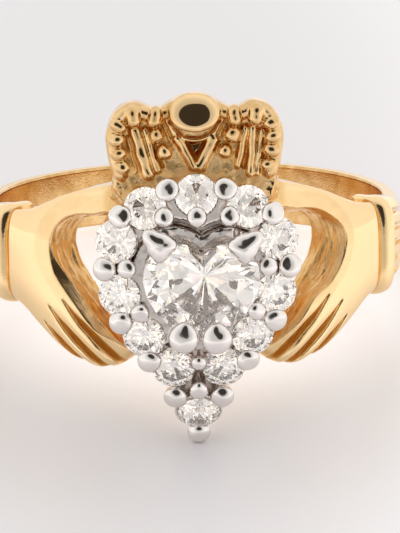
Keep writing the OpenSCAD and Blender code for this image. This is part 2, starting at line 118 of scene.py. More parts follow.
def halo_ring() -> Array:
    """Middles of the twelve halo stones, from the top one clockwise as seen from the front."""
    side = [halo_place(s) for s in HALO_SHARES]
    return np.array(side + [p * (-1, 1) for p in side[5:0:-1]])


HALO_RING = halo_ring()
LOWEST = 6


# ------------------------------------------------------------------------------ frames and meshes
@dataclass(frozen=True)
class RestingPose:
    """How the ring lies: leant back about X by an angle, then moved back and up.

    Attributes:
        lean: the angle in radians.
        shift: the move along Y in mm.
        lift: the move along Z in mm.
    """

    lean: float
    shift: float
    lift: float

    @classmethod
    def from_record(cls, record: dict) -> "RestingPose":
        """Reads the pose off the finger hole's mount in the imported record.

        Args:
            record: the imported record.

        Returns:
            The pose.
        """
        bore = next(m for m in record["mounts"] if m["name"] == "finger_bore")
        axis = np.array(bore["axis"], float)
        axis /= np.linalg.norm(axis)
        start = np.array(bore["pos_m"], float) / MM - BORE_MIDDLE * axis
        return cls(math.atan2(axis[1], axis[2]), start[1], start[2])

    def turn(self, vectors: Array) -> Array:
        """Turns directions of the ring's frame, one a row, into those of the resting ring."""
        c, s = math.cos(self.lean), math.sin(self.lean)
        x, y, z = np.asarray(vectors, float).T
        return np.stack([x, y * c + z * s, -y * s + z * c], axis=-1)

    def place(self, points: Array) -> Array:
        """Lays points of the ring's frame, one a row in mm, down as the ring rests, in metres."""
        return (self.turn(points) + (0, self.shift, self.lift)) * MM


def faces_outwards(points: Array, faces: Array) -> Array:
    """Turns all faces of a closed skin round if it encloses a negative volume.

    The volume is a sixth of the sum of a . (b x c) over the triangles of the skin.

    Args:
        points: the vertices.
        faces: rows of three or four vertex numbers.

    Returns:
        The faces, with their outsides outwards.
    """
    corners = points[faces]
    volume = 0.0
    for k in range(1, faces.shape[1] - 1):
        volume += np.einsum("ij,ij->", corners[:, 0], np.cross(corners[:, k], corners[:, k + 1]))
    return faces if volume > 0 else faces[:, ::-1]


def make_piece(name: str, points: Array, faces: Array, smooth: bool = True,
               sharp_deg: float | None = None, marks: dict[str, Array] | None = None) -> bpy.types.Object:
    """Makes a mesh object of whole arrays.

    Args:
        name: the piece's name.
        points: the vertices in metres, one a row.
        faces: rows of three or four vertex numbers; a triangle's row of four repeats one number.
        smooth: whether faces are shaded smooth.
        sharp_deg: edges bent by more than this stay sharp.
        marks: numbers from 0 to 1 at the vertices, by name, for the material.

    Returns:
        The object, linked to the scene.
    """
    mesh = bpy.data.meshes.new(name)
    faces = np.asarray(faces, np.int32)
    keep = faces != np.roll(faces, 1, axis=1)
    counts = keep.sum(axis=1)
    mesh.vertices.add(len(points))
    mesh.vertices.foreach_set("co", np.asarray(points, np.float32).ravel())
    mesh.loops.add(int(counts.sum()))
    mesh.loops.foreach_set("vertex_index", faces[keep])
    mesh.polygons.add(len(faces))
    starts = np.concatenate([[0], np.cumsum(counts)[:-1]])
    mesh.polygons.foreach_set("loop_start", starts.astype(np.int32))
    mesh.polygons.foreach_set("use_smooth", np.full(len(faces), smooth))
    mesh.update(calc_edges=True)
    for key, values in (marks or {}).items():
        mark = mesh.attributes.new(key, "FLOAT", "POINT")
        mark.data.foreach_set("value", np.asarray(values, np.float32))
    if smooth and sharp_deg is not None:
        mesh.set_sharp_from_angle(angle=math.radians(sharp_deg))
    piece = bpy.data.objects.new(name, mesh)
    bpy.context.scene.collection.objects.link(piece)
    return piece


def join_skins(skins: list[tuple[Array, Array]]) -> tuple[Array, Array]:
    """Puts several skins into one pair of arrays.

    Args:
        skins: pairs of points and four-cornered faces.

    Returns:
        All points and all faces.
    """
    starts = np.cumsum([0] + [len(p) for p, _ in skins[:-1]])
    return (np.concatenate([p for p, _ in skins]),
            np.concatenate([f + s for (_, f), s in zip(skins, starts)]))


def lattice_faces(rows: int, columns: int, wrap_rows: bool = False, wrap_columns: bool = False) -> Array:
    """Four-cornered faces between the points of a grid, numbered row by row.

    Args:
        rows: points down the grid.
        columns: points across the grid.
        wrap_rows: whether the last row joins the first.
        wrap_columns: whether the last column joins the first.

    Returns:
        The faces.
    """
    i = np.arange(rows if wrap_rows else rows - 1)[:, None]
    j = np.arange(columns if wrap_columns else columns - 1)[None, :]
    i1, j1 = (i + 1) % rows, (j + 1) % columns
    return np.stack([np.broadcast_to(q, (len(i), j.size)).ravel() for q in (
        i * columns + j, i * columns + j1, i1 * columns + j1, i1 * columns + j)], axis=1)


def end_fan(first: int, count: int, centre: int, turned: bool) -> Array:
    """Triangles from a ring of points to its centre, as rows that repeat their last number.

    Args:
        first: the number of the ring's first point.
        count: how many points the ring has.
        centre: the number of the centre.
        turned: whether the fan runs the other way round.

    Returns:
        The faces.
    """
    a = first + np.arange(count)
    b = first + (np.arange(count) + 1) % count
    c = np.full(count, centre)
    return np.stack([b, a, c, c] if turned else [a, b, c, c], axis=1)


# --------------------------------------------------------------------------------- working out
def ease(low: float, high: float, value: Array) -> Array:
    """Rises smoothly from 0 at low to 1 at high, as 3t^2 - 2t^3."""
    t = np.clip((value - low) / (high - low), 0, 1)
    return t * t * (3 - 2 * t)


def soft_max(a: Array, b: Array, k: float) -> Array:
    """The larger of two distances, with the edge between them rounded over a width k."""
    h = np.maximum(k - np.abs(a - b), 0)
    return np.maximum(a, b) + h * h / (4 * k)


def soft_min(a: Array, b: Array, k: float) -> Array:
    """The smaller of two distances, with a fillet of width k between them."""
    return -soft_max(-a, -b, k)


def bevel_max(a: Array, b: Array, c: Array | float) -> Array:
    """The larger of two distances, with their edge cut off where the two add up to more than -c."""
    return np.maximum(np.maximum(a, b), (a + b + c) / math.sqrt(2))


def smooth_path(points: Array, steps: int, closed: bool = False) -> Array:
    """A curve through points, each stretch a cubic whose ends follow their neighbours' chord.

    Args:
        points: the points, one a row.
        steps: points on each stretch.
        closed: whether the curve runs back into its start.

    Returns:
        The curve's points.
    """
    p = np.asarray(points, float)
    if closed:
        q = np.concatenate([p[-1:], p, p[:2]])
    else:
        q = np.concatenate([2 * p[:1] - p[1:2], p, 2 * p[-1:] - p[-2:-1]])
    t = np.linspace(0, 1, steps, endpoint=False)[None, :, None]
    a, b, c, d = (q[k:len(q) - 3 + k][:, None, :] for k in range(4))
    square, cube = 2 * a - 5 * b + 4 * c - d, 3 * b - a - 3 * c + d
    curve = 0.5 * (2 * b + (c - a) * t + square * t ** 2 + cube * t ** 3)
    curve = curve.reshape(-1, p.shape[1])
    return curve if closed else np.concatenate([curve, p[-1:]])


def smooth_table(table: tuple, steps: int = 12) -> Callable[[Array], Array]:
    """Makes a smooth function of one number from a short table.

    Args:
        table: pairs of the number, rising, and the value.
        steps: points on each stretch.

    Returns:
        The function.
    """
    curve = smooth_path(np.array(table, float), steps)
    x = np.maximum.accumulate(curve[:, 0])
    return lambda value: np.interp(value, x, curve[:, 1])


def path_distance(u: Array, v: Array, path: Array) -> tuple[Array, Array]:
    """How far points lie from a line of straight stretches.

    On each stretch the foot is the point's projection kept between the ends; the nearest foot counts.

    Args:
        u: first coordinates.
        v: second coordinates.
        path: the line's corners.

    Returns:
        The distances, and the share of the line's length at the foot.
    """
    lengths = np.hypot(*np.diff(path, axis=0).T)
    starts = np.concatenate([[0], np.cumsum(lengths)])
    best, share = None, None
    for (p, q, length, start) in zip(path[:-1], path[1:], lengths, starts):
        if length < 1e-9:
            continue
        d = (q - p) / length
        t = np.clip((u - p[0]) * d[0] + (v - p[1]) * d[1], 0, length)
        e = np.hypot(u - p[0] - t * d[0], v - p[1] - t * d[1])
        here = (start + t) / starts[-1]
        if best is None:
            best, share = e, here
        else:
            share = np.where(e < best, here, share)
            best = np.minimum(best, e)
    return best, share


def outline_distance(u: Array, v: Array, outline: Array) -> Array:
    """Distance to a closed outline, negative inside it.

    A point is inside if a ray along u crosses the outline an odd number of times.

    Args:
        u: first coordinates.
        v: second coordinates.
        outline: its corners in order.

    Returns:
        The signed distances.
    """
    ring = np.concatenate([outline, outline[:1]])
    inside = np.zeros(np.broadcast(u, v).shape, bool)
    for p, q in zip(ring[:-1], ring[1:]):
        if p[1] != q[1]:
            inside ^= ((p[1] > v) != (q[1] > v)) & (u < (q[0] - p[0]) * (v - p[1]) / (q[1] - p[1]) + p[0])
    distance = path_distance(u, v, ring)[0]
    return np.where(inside, -distance, distance)


class Chart:
    """A function of two coordinates, worked out once on a fine grid and blended between its points.

    Args:
        function: the function of two arrays that fit together.
        u: lowest and highest first coordinate.
        v: lowest and highest second coordinate.
        step: the grid's step.
    """

    def __init__(self, function: Callable[[Array, Array], Array], u: tuple, v: tuple,
                 step: float = 0.025) -> None:
        """Works the function out."""
        self.low, self.step = (u[0], v[0]), step
        axes = [np.arange(low, high + step, step) for low, high in (u, v)]
        self.values = np.array(np.broadcast_to(function(axes[0][:, None], axes[1][None, :]),
                                               (len(axes[0]), len(axes[1]))))

    def __call__(self, u: Array, v: Array) -> Array:
        """The function's value, from the four grid points around each place."""
        parts = []
        for k, q in enumerate((u, v)):
            at = np.clip((q - self.low[k]) / self.step, 0, self.values.shape[k] - 1.001)
            low = at.astype(int)
            parts.append((low, at - low))
        (i, s), (j, t) = parts
        g = self.values
        near, far = (g[i, q] * (1 - s) + g[i + 1, q] * s for q in (j, j + 1))
        return near * (1 - t) + far * t


class Grain:
    """Even random unevenness: values from -1 to 1 at the corners of a grid, blended between them.

    Args:
        seed: the random table's seed.
    """

    SIZE = 32

    def __init__(self, seed: int) -> None:
        """Fills the table."""
        self.table = np.random.default_rng(seed).uniform(-1, 1, (self.SIZE,) * 3)

    def __call__(self, x: Array, y: Array, z: Array) -> Array:
        """The unevenness at points whose coordinates are counted in grid steps."""
        parts = []
        for q in (x, y, z):
            low = np.floor(q)
            t = q - low
            i = low.astype(int)
            parts.append((i % self.SIZE, (i + 1) % self.SIZE, t * t * (3 - 2 * t)))
        (x0, x1, tx), (y0, y1, ty), (z0, z1, tz) = parts
        t = self.table
        a = t[x0, y0, z0] * (1 - tx) + t[x1, y0, z0] * tx
        b = t[x0, y1, z0] * (1 - tx) + t[x1, y1, z0] * tx
        c = t[x0, y0, z1] * (1 - tx) + t[x1, y0, z1] * tx
        d = t[x0, y1, z1] * (1 - tx) + t[x1, y1, z1] * tx
        return (a * (1 - ty) + b * ty) * (1 - tz) + (c * (1 - ty) + d * ty) * tz


def slope_of(distance: Field, points: Array, step: float) -> Array:
    """Differences of a function across each point along the three axes, over step to both sides."""
    return np.stack([distance(*(points + e).T) - distance(*(points - e).T) for e in np.eye(3) * step], axis=1)


def net_surface(distance: Field, box: tuple, cell: float) -> tuple[Array, Array]:
    """The skin where a distance function is zero, as a net with one point in each cell that it passes.

    Each edge of the grid whose ends have different signs is crossed at its zero by linear
    interpolation. A cell's point is the mean of its crossings, each crossed edge gives the face of
    its four cells, and two steps of -f * grad f / |grad f|^2 draw the points onto the skin.

    Args:
        distance: the function, negative inside, of three arrays that fit together.
        box: pairs of lowest and highest coordinate; the skin stays clear of the box's sides.
        cell: the grid's step.

    Returns:
        The points in grid coordinates, and four-cornered faces.
    """
    axes = tuple(np.arange(low, high, cell) for low, high in box)
    shape = tuple(len(a) for a in axes)
    opened = [axes[k].reshape([-1 if j == k else 1 for j in range(3)]) for k in range(3)]
    values = np.broadcast_to(distance(*opened), shape)
    cells = tuple(n - 1 for n in shape)
    sums = np.zeros((int(np.prod(cells)), 3))
    counts = np.zeros(len(sums))
    faces = []
    for k in range(3):
        low = values[tuple(slice(0, -1) if j == k else slice(None) for j in range(3))]
        high = values[tuple(slice(1, None) if j == k else slice(None) for j in range(3))]
        at = np.argwhere((low < 0) != (high < 0))
        f0, f1 = low[tuple(at.T)], high[tuple(at.T)]
        spot = np.stack([axes[j][at[:, j]] for j in range(3)], axis=1)
        spot[:, k] += f0 / (f0 - f1) * (axes[k][at[:, k] + 1] - axes[k][at[:, k]])
        o1, o2 = (k + 1) % 3, (k + 2) % 3
        ring, whole = [], np.ones(len(at), bool)
        for d1, d2 in ((0, 0), (-1, 0), (-1, -1), (0, -1)):
            beside = at.copy()
            beside[:, o1] += d1
            beside[:, o2] += d2
            whole &= ((beside >= 0) & (beside < cells)).all(axis=1)
            ring.append(np.ravel_multi_index(np.clip(beside, 0, np.array(cells) - 1).T, cells))
        for flat in ring:
            for j in range(3):
                sums[:, j] += np.bincount(flat[whole], spot[whole, j], len(sums))
            counts += np.bincount(flat[whole], minlength=len(sums))
        quad = np.stack(ring, axis=1)[whole]
        turned = (f0 >= 0)[whole]
        quad[turned] = quad[turned][:, ::-1]
        faces.append(quad)
    used = counts > 0
    number = np.cumsum(used) - 1
    points = sums[used] / counts[used, None]
    for _ in range(2):
        value = distance(*points.T)
        slope = slope_of(distance, points, 0.2 * cell) / (0.4 * cell)
        move = slope * (value / np.maximum((slope ** 2).sum(axis=1), 0.05))[:, None]
        size = np.linalg.norm(move, axis=1, keepdims=True)
        points = points - move * np.minimum(1, 0.6 * cell / np.maximum(size, 1e-9))
    return points, number[np.concatenate(faces)]


def in_front(points: Array) -> Array:
    """Turns rows of x, z and the distance in front of the hole's axis into points of the ring's frame."""
    return points[:, [0, 2, 1]] * (1, -1, 1)


def cavity(distance: Field, points: Array, reach: float) -> Array:
    """How closed in a skin is: 1 - f(p + reach * n) / reach, with n the outward normal.

    Args:
        distance: the skin's distance function.
        points: points on the skin.
        reach: how far out to look, in mm.

    Returns:
        From 0 where the surface is open to 1 at the bottom of a crease.
    """
    slope = slope_of(distance, points, 0.02)
    ahead = points + reach * slope / np.maximum(np.linalg.norm(slope, axis=1, keepdims=True), 1e-9)
    return np.clip(1 - distance(*ahead.T) / reach, 0, 1)


def round_the_hole(angle: Array, z: Array, r: Array) -> Array:
    """Points at an angle in radians from the front, a height and a distance from the hole's axis."""
    return np.stack([r * np.sin(angle), -r * np.cos(angle), z], axis=-1)


def on_dome(p: Array, lean: float = 0.0) -> tuple[Array, Array]:
    """The frame of something set on the domed face of the head.

    The dome's height falls with the square of the distance from the middle, so its normal leans
    outwards by the slope 2 * DOME * distance.

    Args:
        p: x and z on the head.
        lean: extra lean in degrees.

    Returns:
        The origin, and a matrix whose columns are the frame's across, up and outward directions.
    """
    az = math.atan(2 * DOME * p[0])
    rise = math.atan2(2 * DOME * p[1], math.hypot(1, 2 * DOME * p[0])) - math.radians(lean)
    turn = np.array([[math.cos(az), -math.sin(az), 0], [math.sin(az), math.cos(az), 0], [0, 0, 1]])
    across = turn @ np.array([1.0, 0, 0])
    up = turn @ np.array([0, math.sin(rise), math.cos(rise)])
    out = turn @ np.array([0, -math.cos(rise), math.sin(rise)])
    origin = np.array([p[0], -HALO_Y + DOME * (p[0] ** 2 + p[1] ** 2), p[1]])
    return origin, np.stack([across, up, out], axis=1)


def on_heart() -> tuple[Array, Array]:
    """The frame of the heart stone's girdle, with its origin HEART_DOWN under the heart's middle."""
    t = math.radians(HEART_TURN)
    return (np.array([HEART_X, -HEART_Y, -HEART_DOWN]),
            np.stack([[math.cos(t), 0, -math.sin(t)], [math.sin(t), 0, math.cos(t)], [0, -1, 0]], axis=1))


# ------------------------------------------------------------------------------------- the hands
@dataclass(frozen=True)
class Hand:
    """One cast hand: palm, thumb over the opening, four fingers parted by three graved grooves.

    It is worked out on the round of the hole: s is the way round from the front at ROUND_R, z the
    height, r the distance from the hole's axis.

    Attributes:
        side: left or right hand.
        cell: the net's cell, in mm.
        top: the thumb's upper edge by angle.
        low: the lower edge under the little finger by angle.
        opening: corners of the opening between hand and heart, in degrees and mm.
        grooves: the three lines between the fingers, from their pointed upper ends, likewise.
        crease: the soft edge between the thumb's side and the palm, likewise.
        wall_taper: how far the opening narrows for each mm inwards.
        rim_bevel: the least cut of the polished bevel round the opening.
        groove_deep: depth of a groove at its lower end.
        groove_half: half its width there.
        dip: how far the palm sinks towards a groove.
        rough: height of the cast unevenness on the opening's wall.
        crowned: how far the palm's edges lie under its middle.
        wrist_fall: how far the palm drops before the cuff roll.
        past_middle: how far the hand reaches past the middle, behind the head.
    """

    side: Side
    cell: float = 0.05
    top: tuple = ((-8, 3.5), (0, 3.55), (12, 3.6), (21.6, 3.56), (25, 3.48), (30.8, 3.22), (35.5, 2.95),
                  (40, 2.62), (44.8, 2.27), (48, 2.13), (51, 2.05), (54, 2.0), (60, 2.0))
    low: tuple = ((-8, -3.6), (10, -3.7), (15.5, -3.88), (17.5, -4.05), (19.6, -4.28), (22.3, -4.47),
                  (26, -4.5), (30.2, -4.35), (34.2, -4.05), (38.4, -3.57), (43, -2.97), (47.7, -2.36),
                  (51, -2.1), (54, -2.0), (60, -2.0))
    opening: tuple = ((20.5, 2.26), (26, 2.3), (30.5, 2.24), (34, 2.0), (36.6, 1.5), (37.6, 0.85),
                      (37.0, 0.3), (35.6, -0.2), (33.8, -0.58), (31.2, -1.12), (28.2, -1.76),
                      (25.7, -2.36), (22.5, -2.98), (19.5, -3.46), (17.4, -3.6), (15.5, -3.33),
                      (17, -2.48), (21, 0))
    grooves: tuple = (((34.2, -1.5), (30.6, -2.25), (26.5, -2.95), (22.6, -3.72), (18.6, -4.5)),
                      ((38.4, -1.83), (34.4, -2.65), (30.2, -3.4), (26.4, -4.02), (22, -4.8)),
                      ((40.3, -2.53), (36.5, -3.25), (33, -3.86), (29, -4.41), (25.5, -4.95)))
    crease: tuple = ((52, 1.75), (44, 1.15), (40.4, 0.9), (39.2, -0.1), (37.2, -0.8), (34, -1.5),
                     (31, -2.1))
    wall_taper: float = 0.15
    rim_bevel: float = 0.14
    groove_deep: float = 0.4
    groove_half: float = 0.17
    dip: float = 0.13
    rough: float = 0.1
    crowned: float = 0.32
    wrist_fall: float = 0.45
    past_middle: float = 0.4

    ROUND_R = 10.0
    END_DEG = 54.4
    # Widths in mm of the upper edge's bevel and round, and of the rounds of the lower edge and the rim
    TOP_BEVEL, TOP_ROUND, LOW_ROUND, RIM_ROUND = 0.16, 0.1, 0.5, 0.05

    def on_round(self, path: tuple) -> Array:
        """Turns pairs of degrees and mm into s and z."""
        p = np.array(path, float)
        return np.stack([np.radians(p[:, 0]) * self.ROUND_R, p[:, 1]], axis=1)

    def parts(self, s: Array, z: Array, r: Array) -> dict[str, Array]:
        """The hand's separate surfaces as distances, which distance() joins.

        The palm is a cylinder, flattened in front and crowned across by the fourth power of the
        share of its half height. A groove takes depth * (1 - distance / half width) off it, and
        around it a dip of a bell curve; both grow along the groove from nothing.

        Args:
            s: way round from the front.
            z: height.
            r: distance from the hole's axis.

        Returns:
            The distances by name, with the palm's radius and the depth that the grooves take.
        """
        deg = np.degrees(s / self.ROUND_R)
        palm, top, low = self.bare(s, z)
        cut = self.graved(s, z)
        hole = self.hole(s, z)
        return {"palm": palm - cut - self.dips(s, z), "cut": cut, "top": z - top, "low": low - z,
                "hole": -(hole + self.wall_taper * (PALM_R - r)), "deg": deg}

    def bare(self, s: Array, z: Array) -> tuple[Array, Array, Array]:
        """The palm's radius before the grooves are cut, and the heights of the hand's two edges."""
        a = s / self.ROUND_R
        deg = np.degrees(a)
        top, low = self.top_edge(deg), self.low_edge(deg)
        u = (2 * z - top - low) / (top - low)
        flat = (BACK_R + ease(15, 20, deg) * ease(1.9, 2.4, z)) / np.cos(np.clip(a, -0.2, 0.7))
        palm = -soft_max(-(PALM_R + 0 * a), -flat, 0.12)
        fall = self.wrist_fall * ease(50.8, 54.0, deg) ** 2 + self.crowned * np.abs(u) ** 4
        return palm - fall - self.slant(s, z), top, low

    def chart(self, function: Callable[[Array, Array], Array]) -> Chart:
        """A chart over the hand's whole round."""
        return Chart(function, (-0.8, self.end + 0.4), (-5.2, 4.3))

    @cached_property
    def top_edge(self) -> Callable[[Array], Array]:
        """The upper edge as a smooth function of the angle."""
        return smooth_table(self.top)

    @cached_property
    def low_edge(self) -> Callable[[Array], Array]:
        """The lower edge as a smooth function of the angle."""
        return smooth_table(self.low)

    @cached_property
    def hole(self) -> Chart:
        """Distance to the opening's outline."""
        outline = smooth_path(self.on_round(self.opening), 6, closed=True)
        return self.chart(lambda s, z: outline_distance(s, z, outline))

    @cached_property
    def slant(self) -> Chart:
        """How far the thumb's side falls away from the palm, past their soft edge."""
        edge = smooth_path(self.on_round(self.crease), 6)
        side = np.concatenate([edge, self.on_round(((15, -2.1), (15, 6), (60, 6)))])

        def fall(s: Array, z: Array) -> Array:
            """A slope past the edge, faded out at the wrist and at the fingers."""
            past = soft_max(-outline_distance(s, z, side), 0.0, 0.9)
            slope = 0.1 if self.side is Side.RIGHT else 0.05
            return slope * past * ease(54, 47, np.degrees(s / self.ROUND_R)) * ease(-2.6, -1.2, z)
        return self.chart(fall)

    @cached_property
    def graved(self) -> Chart:
        """Depth of the grooves between the fingers."""
        def cut(s: Array, z: Array) -> Array:
            """The deepest of the three grooves."""
            deepest = np.zeros(np.broadcast(s, z).shape)
            for line in self.grooves:
                d, along = path_distance(s, z, smooth_path(self.on_round(line), 4))
                grow = ease(-0.05, 0.42, along)
                half = 0.03 + (self.groove_half - 0.03) * grow
                shape = np.clip(1 - d / half, 0, 1)
                depth = self.groove_deep * (0.25 + 0.75 * grow)
                deepest = np.maximum(deepest, depth * shape * (1.35 - 0.35 * shape))
            return deepest
        return self.chart(cut)

    @cached_property
    def dips(self) -> Chart:
        """How far the fingers' backs fall off towards the grooves."""
        def dip(s: Array, z: Array) -> Array:
            """The sum of a bell curve over each groove."""
            total = np.zeros(np.broadcast(s, z).shape)
            for line in self.grooves:
                d, along = path_distance(s, z, smooth_path(self.on_round(line), 4))
                total = total + self.dip * ease(0, 0.6, along) * np.exp(-(d / 0.27) ** 2)
            return total
        return self.chart(dip)

    def distance(self, s: Array, z: Array, r: Array) -> Array:
        """The hand's distance function: its surfaces joined with bevels and round edges.

        Args:
            s: way round from the front.
            z: height.
            r: distance from the hole's axis.

        Returns:
            The distances, negative in the gold.
        """
        p = self.parts(s, z, r)
        skin = r - p["palm"]
        skin = soft_max(bevel_max(skin, p["top"], self.TOP_BEVEL), skin, self.TOP_ROUND)
        skin = soft_max(skin, p["low"], self.LOW_ROUND)
        under = p["palm"] - r
        grain = self.grain(s, z, r)
        wall = p["hole"] + self.rough * ease(0.3, 0.6, under) * grain
        skin = soft_max(self.bevelled(skin, wall, z, p["deg"]), skin, self.RIM_ROUND)
        bore = BORE_R + 0.15 * ease(53.1, 53.7, p["deg"]) - r
        skin = bevel_max(skin, bore, 0.05)
        light = LIGHT_R - np.hypot(r * np.sin(s / self.ROUND_R), z - LIGHT_Z)
        ends = np.maximum(-s - self.past_middle, p["deg"] * math.radians(self.ROUND_R) - self.end)
        return np.maximum(np.maximum(skin, light), ends)

    def bevelled(self, skin: Array, wall: Array, z: Array, deg: Array) -> Array:
        """Joins palm and wall with the polished bevel, steep and wide on the right hand.

        The bevel is the plane where tilt * skin + wall = -width, over the length of its normal.

        Args:
            skin: distance to the palm.
            wall: distance to the opening's wall.
            z: height.
            deg: angle from the front.

        Returns:
            The joined distance.
        """
        if self.side is Side.RIGHT:
            tilt = 0.42
            width = self.rim_bevel + 0.3 * ease(28, 34, deg) * ease(2.2, 1.0, z) * ease(-1.9, -0.9, z)
        else:
            tilt = 0.9
            width = 0.6 * self.rim_bevel + 0.24 * ease(0.9, -0.9, z) * ease(-3.3, -2.6, z)
        return np.maximum(np.maximum(skin, wall), (tilt * skin + wall + width) / math.hypot(tilt, 1))

    @property
    def end(self) -> float:
        """Where the hand ends inside the cuff roll, as s."""
        return math.radians(self.END_DEG) * self.ROUND_R

    def grain(self, s: Array, z: Array, r: Array) -> Array:
        """The cast wall's unevenness: long scratches round the opening over coarser lumps."""
        seed = 11 if self.side is Side.LEFT else 12
        fine, coarse = Grain(seed), Grain(seed + 20)
        return 0.6 * fine(s / 0.9, z / 0.9, r / 0.11) + 0.4 * coarse(s / 0.3, z / 0.4, r / 0.22)

    def build(self, pose: RestingPose) -> bpy.types.Object:
        """Makes the hand's mesh, marked where it was left as cast and where shade is painted into its colour.

        Args:
            pose: how the ring lies.

        Returns:
            The piece.
        """
        box = ((-0.6, self.end + 0.2), (-5.0, 4.1), (BORE_R - 0.15, PALM_R + 0.15))
        points, faces = net_surface(self.distance, box, self.cell)
        s, z, r = points.T
        p = self.parts(s, z, r)
        under = p["palm"] - r
        cast = 0.7 * ease(0.28, 0.5, under) * ease(-0.2, -0.08, p["hole"]) * ease(0.0, 0.06, r - BORE_R)
        # Painted shade: darker down the grooves, on the cast wall of the opening and, less, on the bevel
        # round it
        recess = ease(0.03, 0.2, p["cut"])
        cast = np.maximum(cast, 0.8 * ease(0.05, 0.16, p["cut"]))
        cast = np.maximum(cast, 0.6 * ease(24.5, 21, p["deg"]) * ease(2.2, 2.5, z))
        satin = ease(0.02, 0.06, under) * ease(-0.9, -0.75, p["hole"])
        cast = np.maximum(cast, (0.5 if self.side is Side.RIGHT else 0.3) * satin)
        recess = np.maximum(recess, np.maximum(0.6 * cast, 0.35 * satin))
        spots = round_the_hole(s / self.ROUND_R, z, r) * (self.side.value, 1, 1)
        return make_piece(f"hand_{self.side.name.lower()}", pose.place(spots), faces_outwards(spots, faces),
                          marks={"as_cast": cast, "recess": recess, "layer": r})


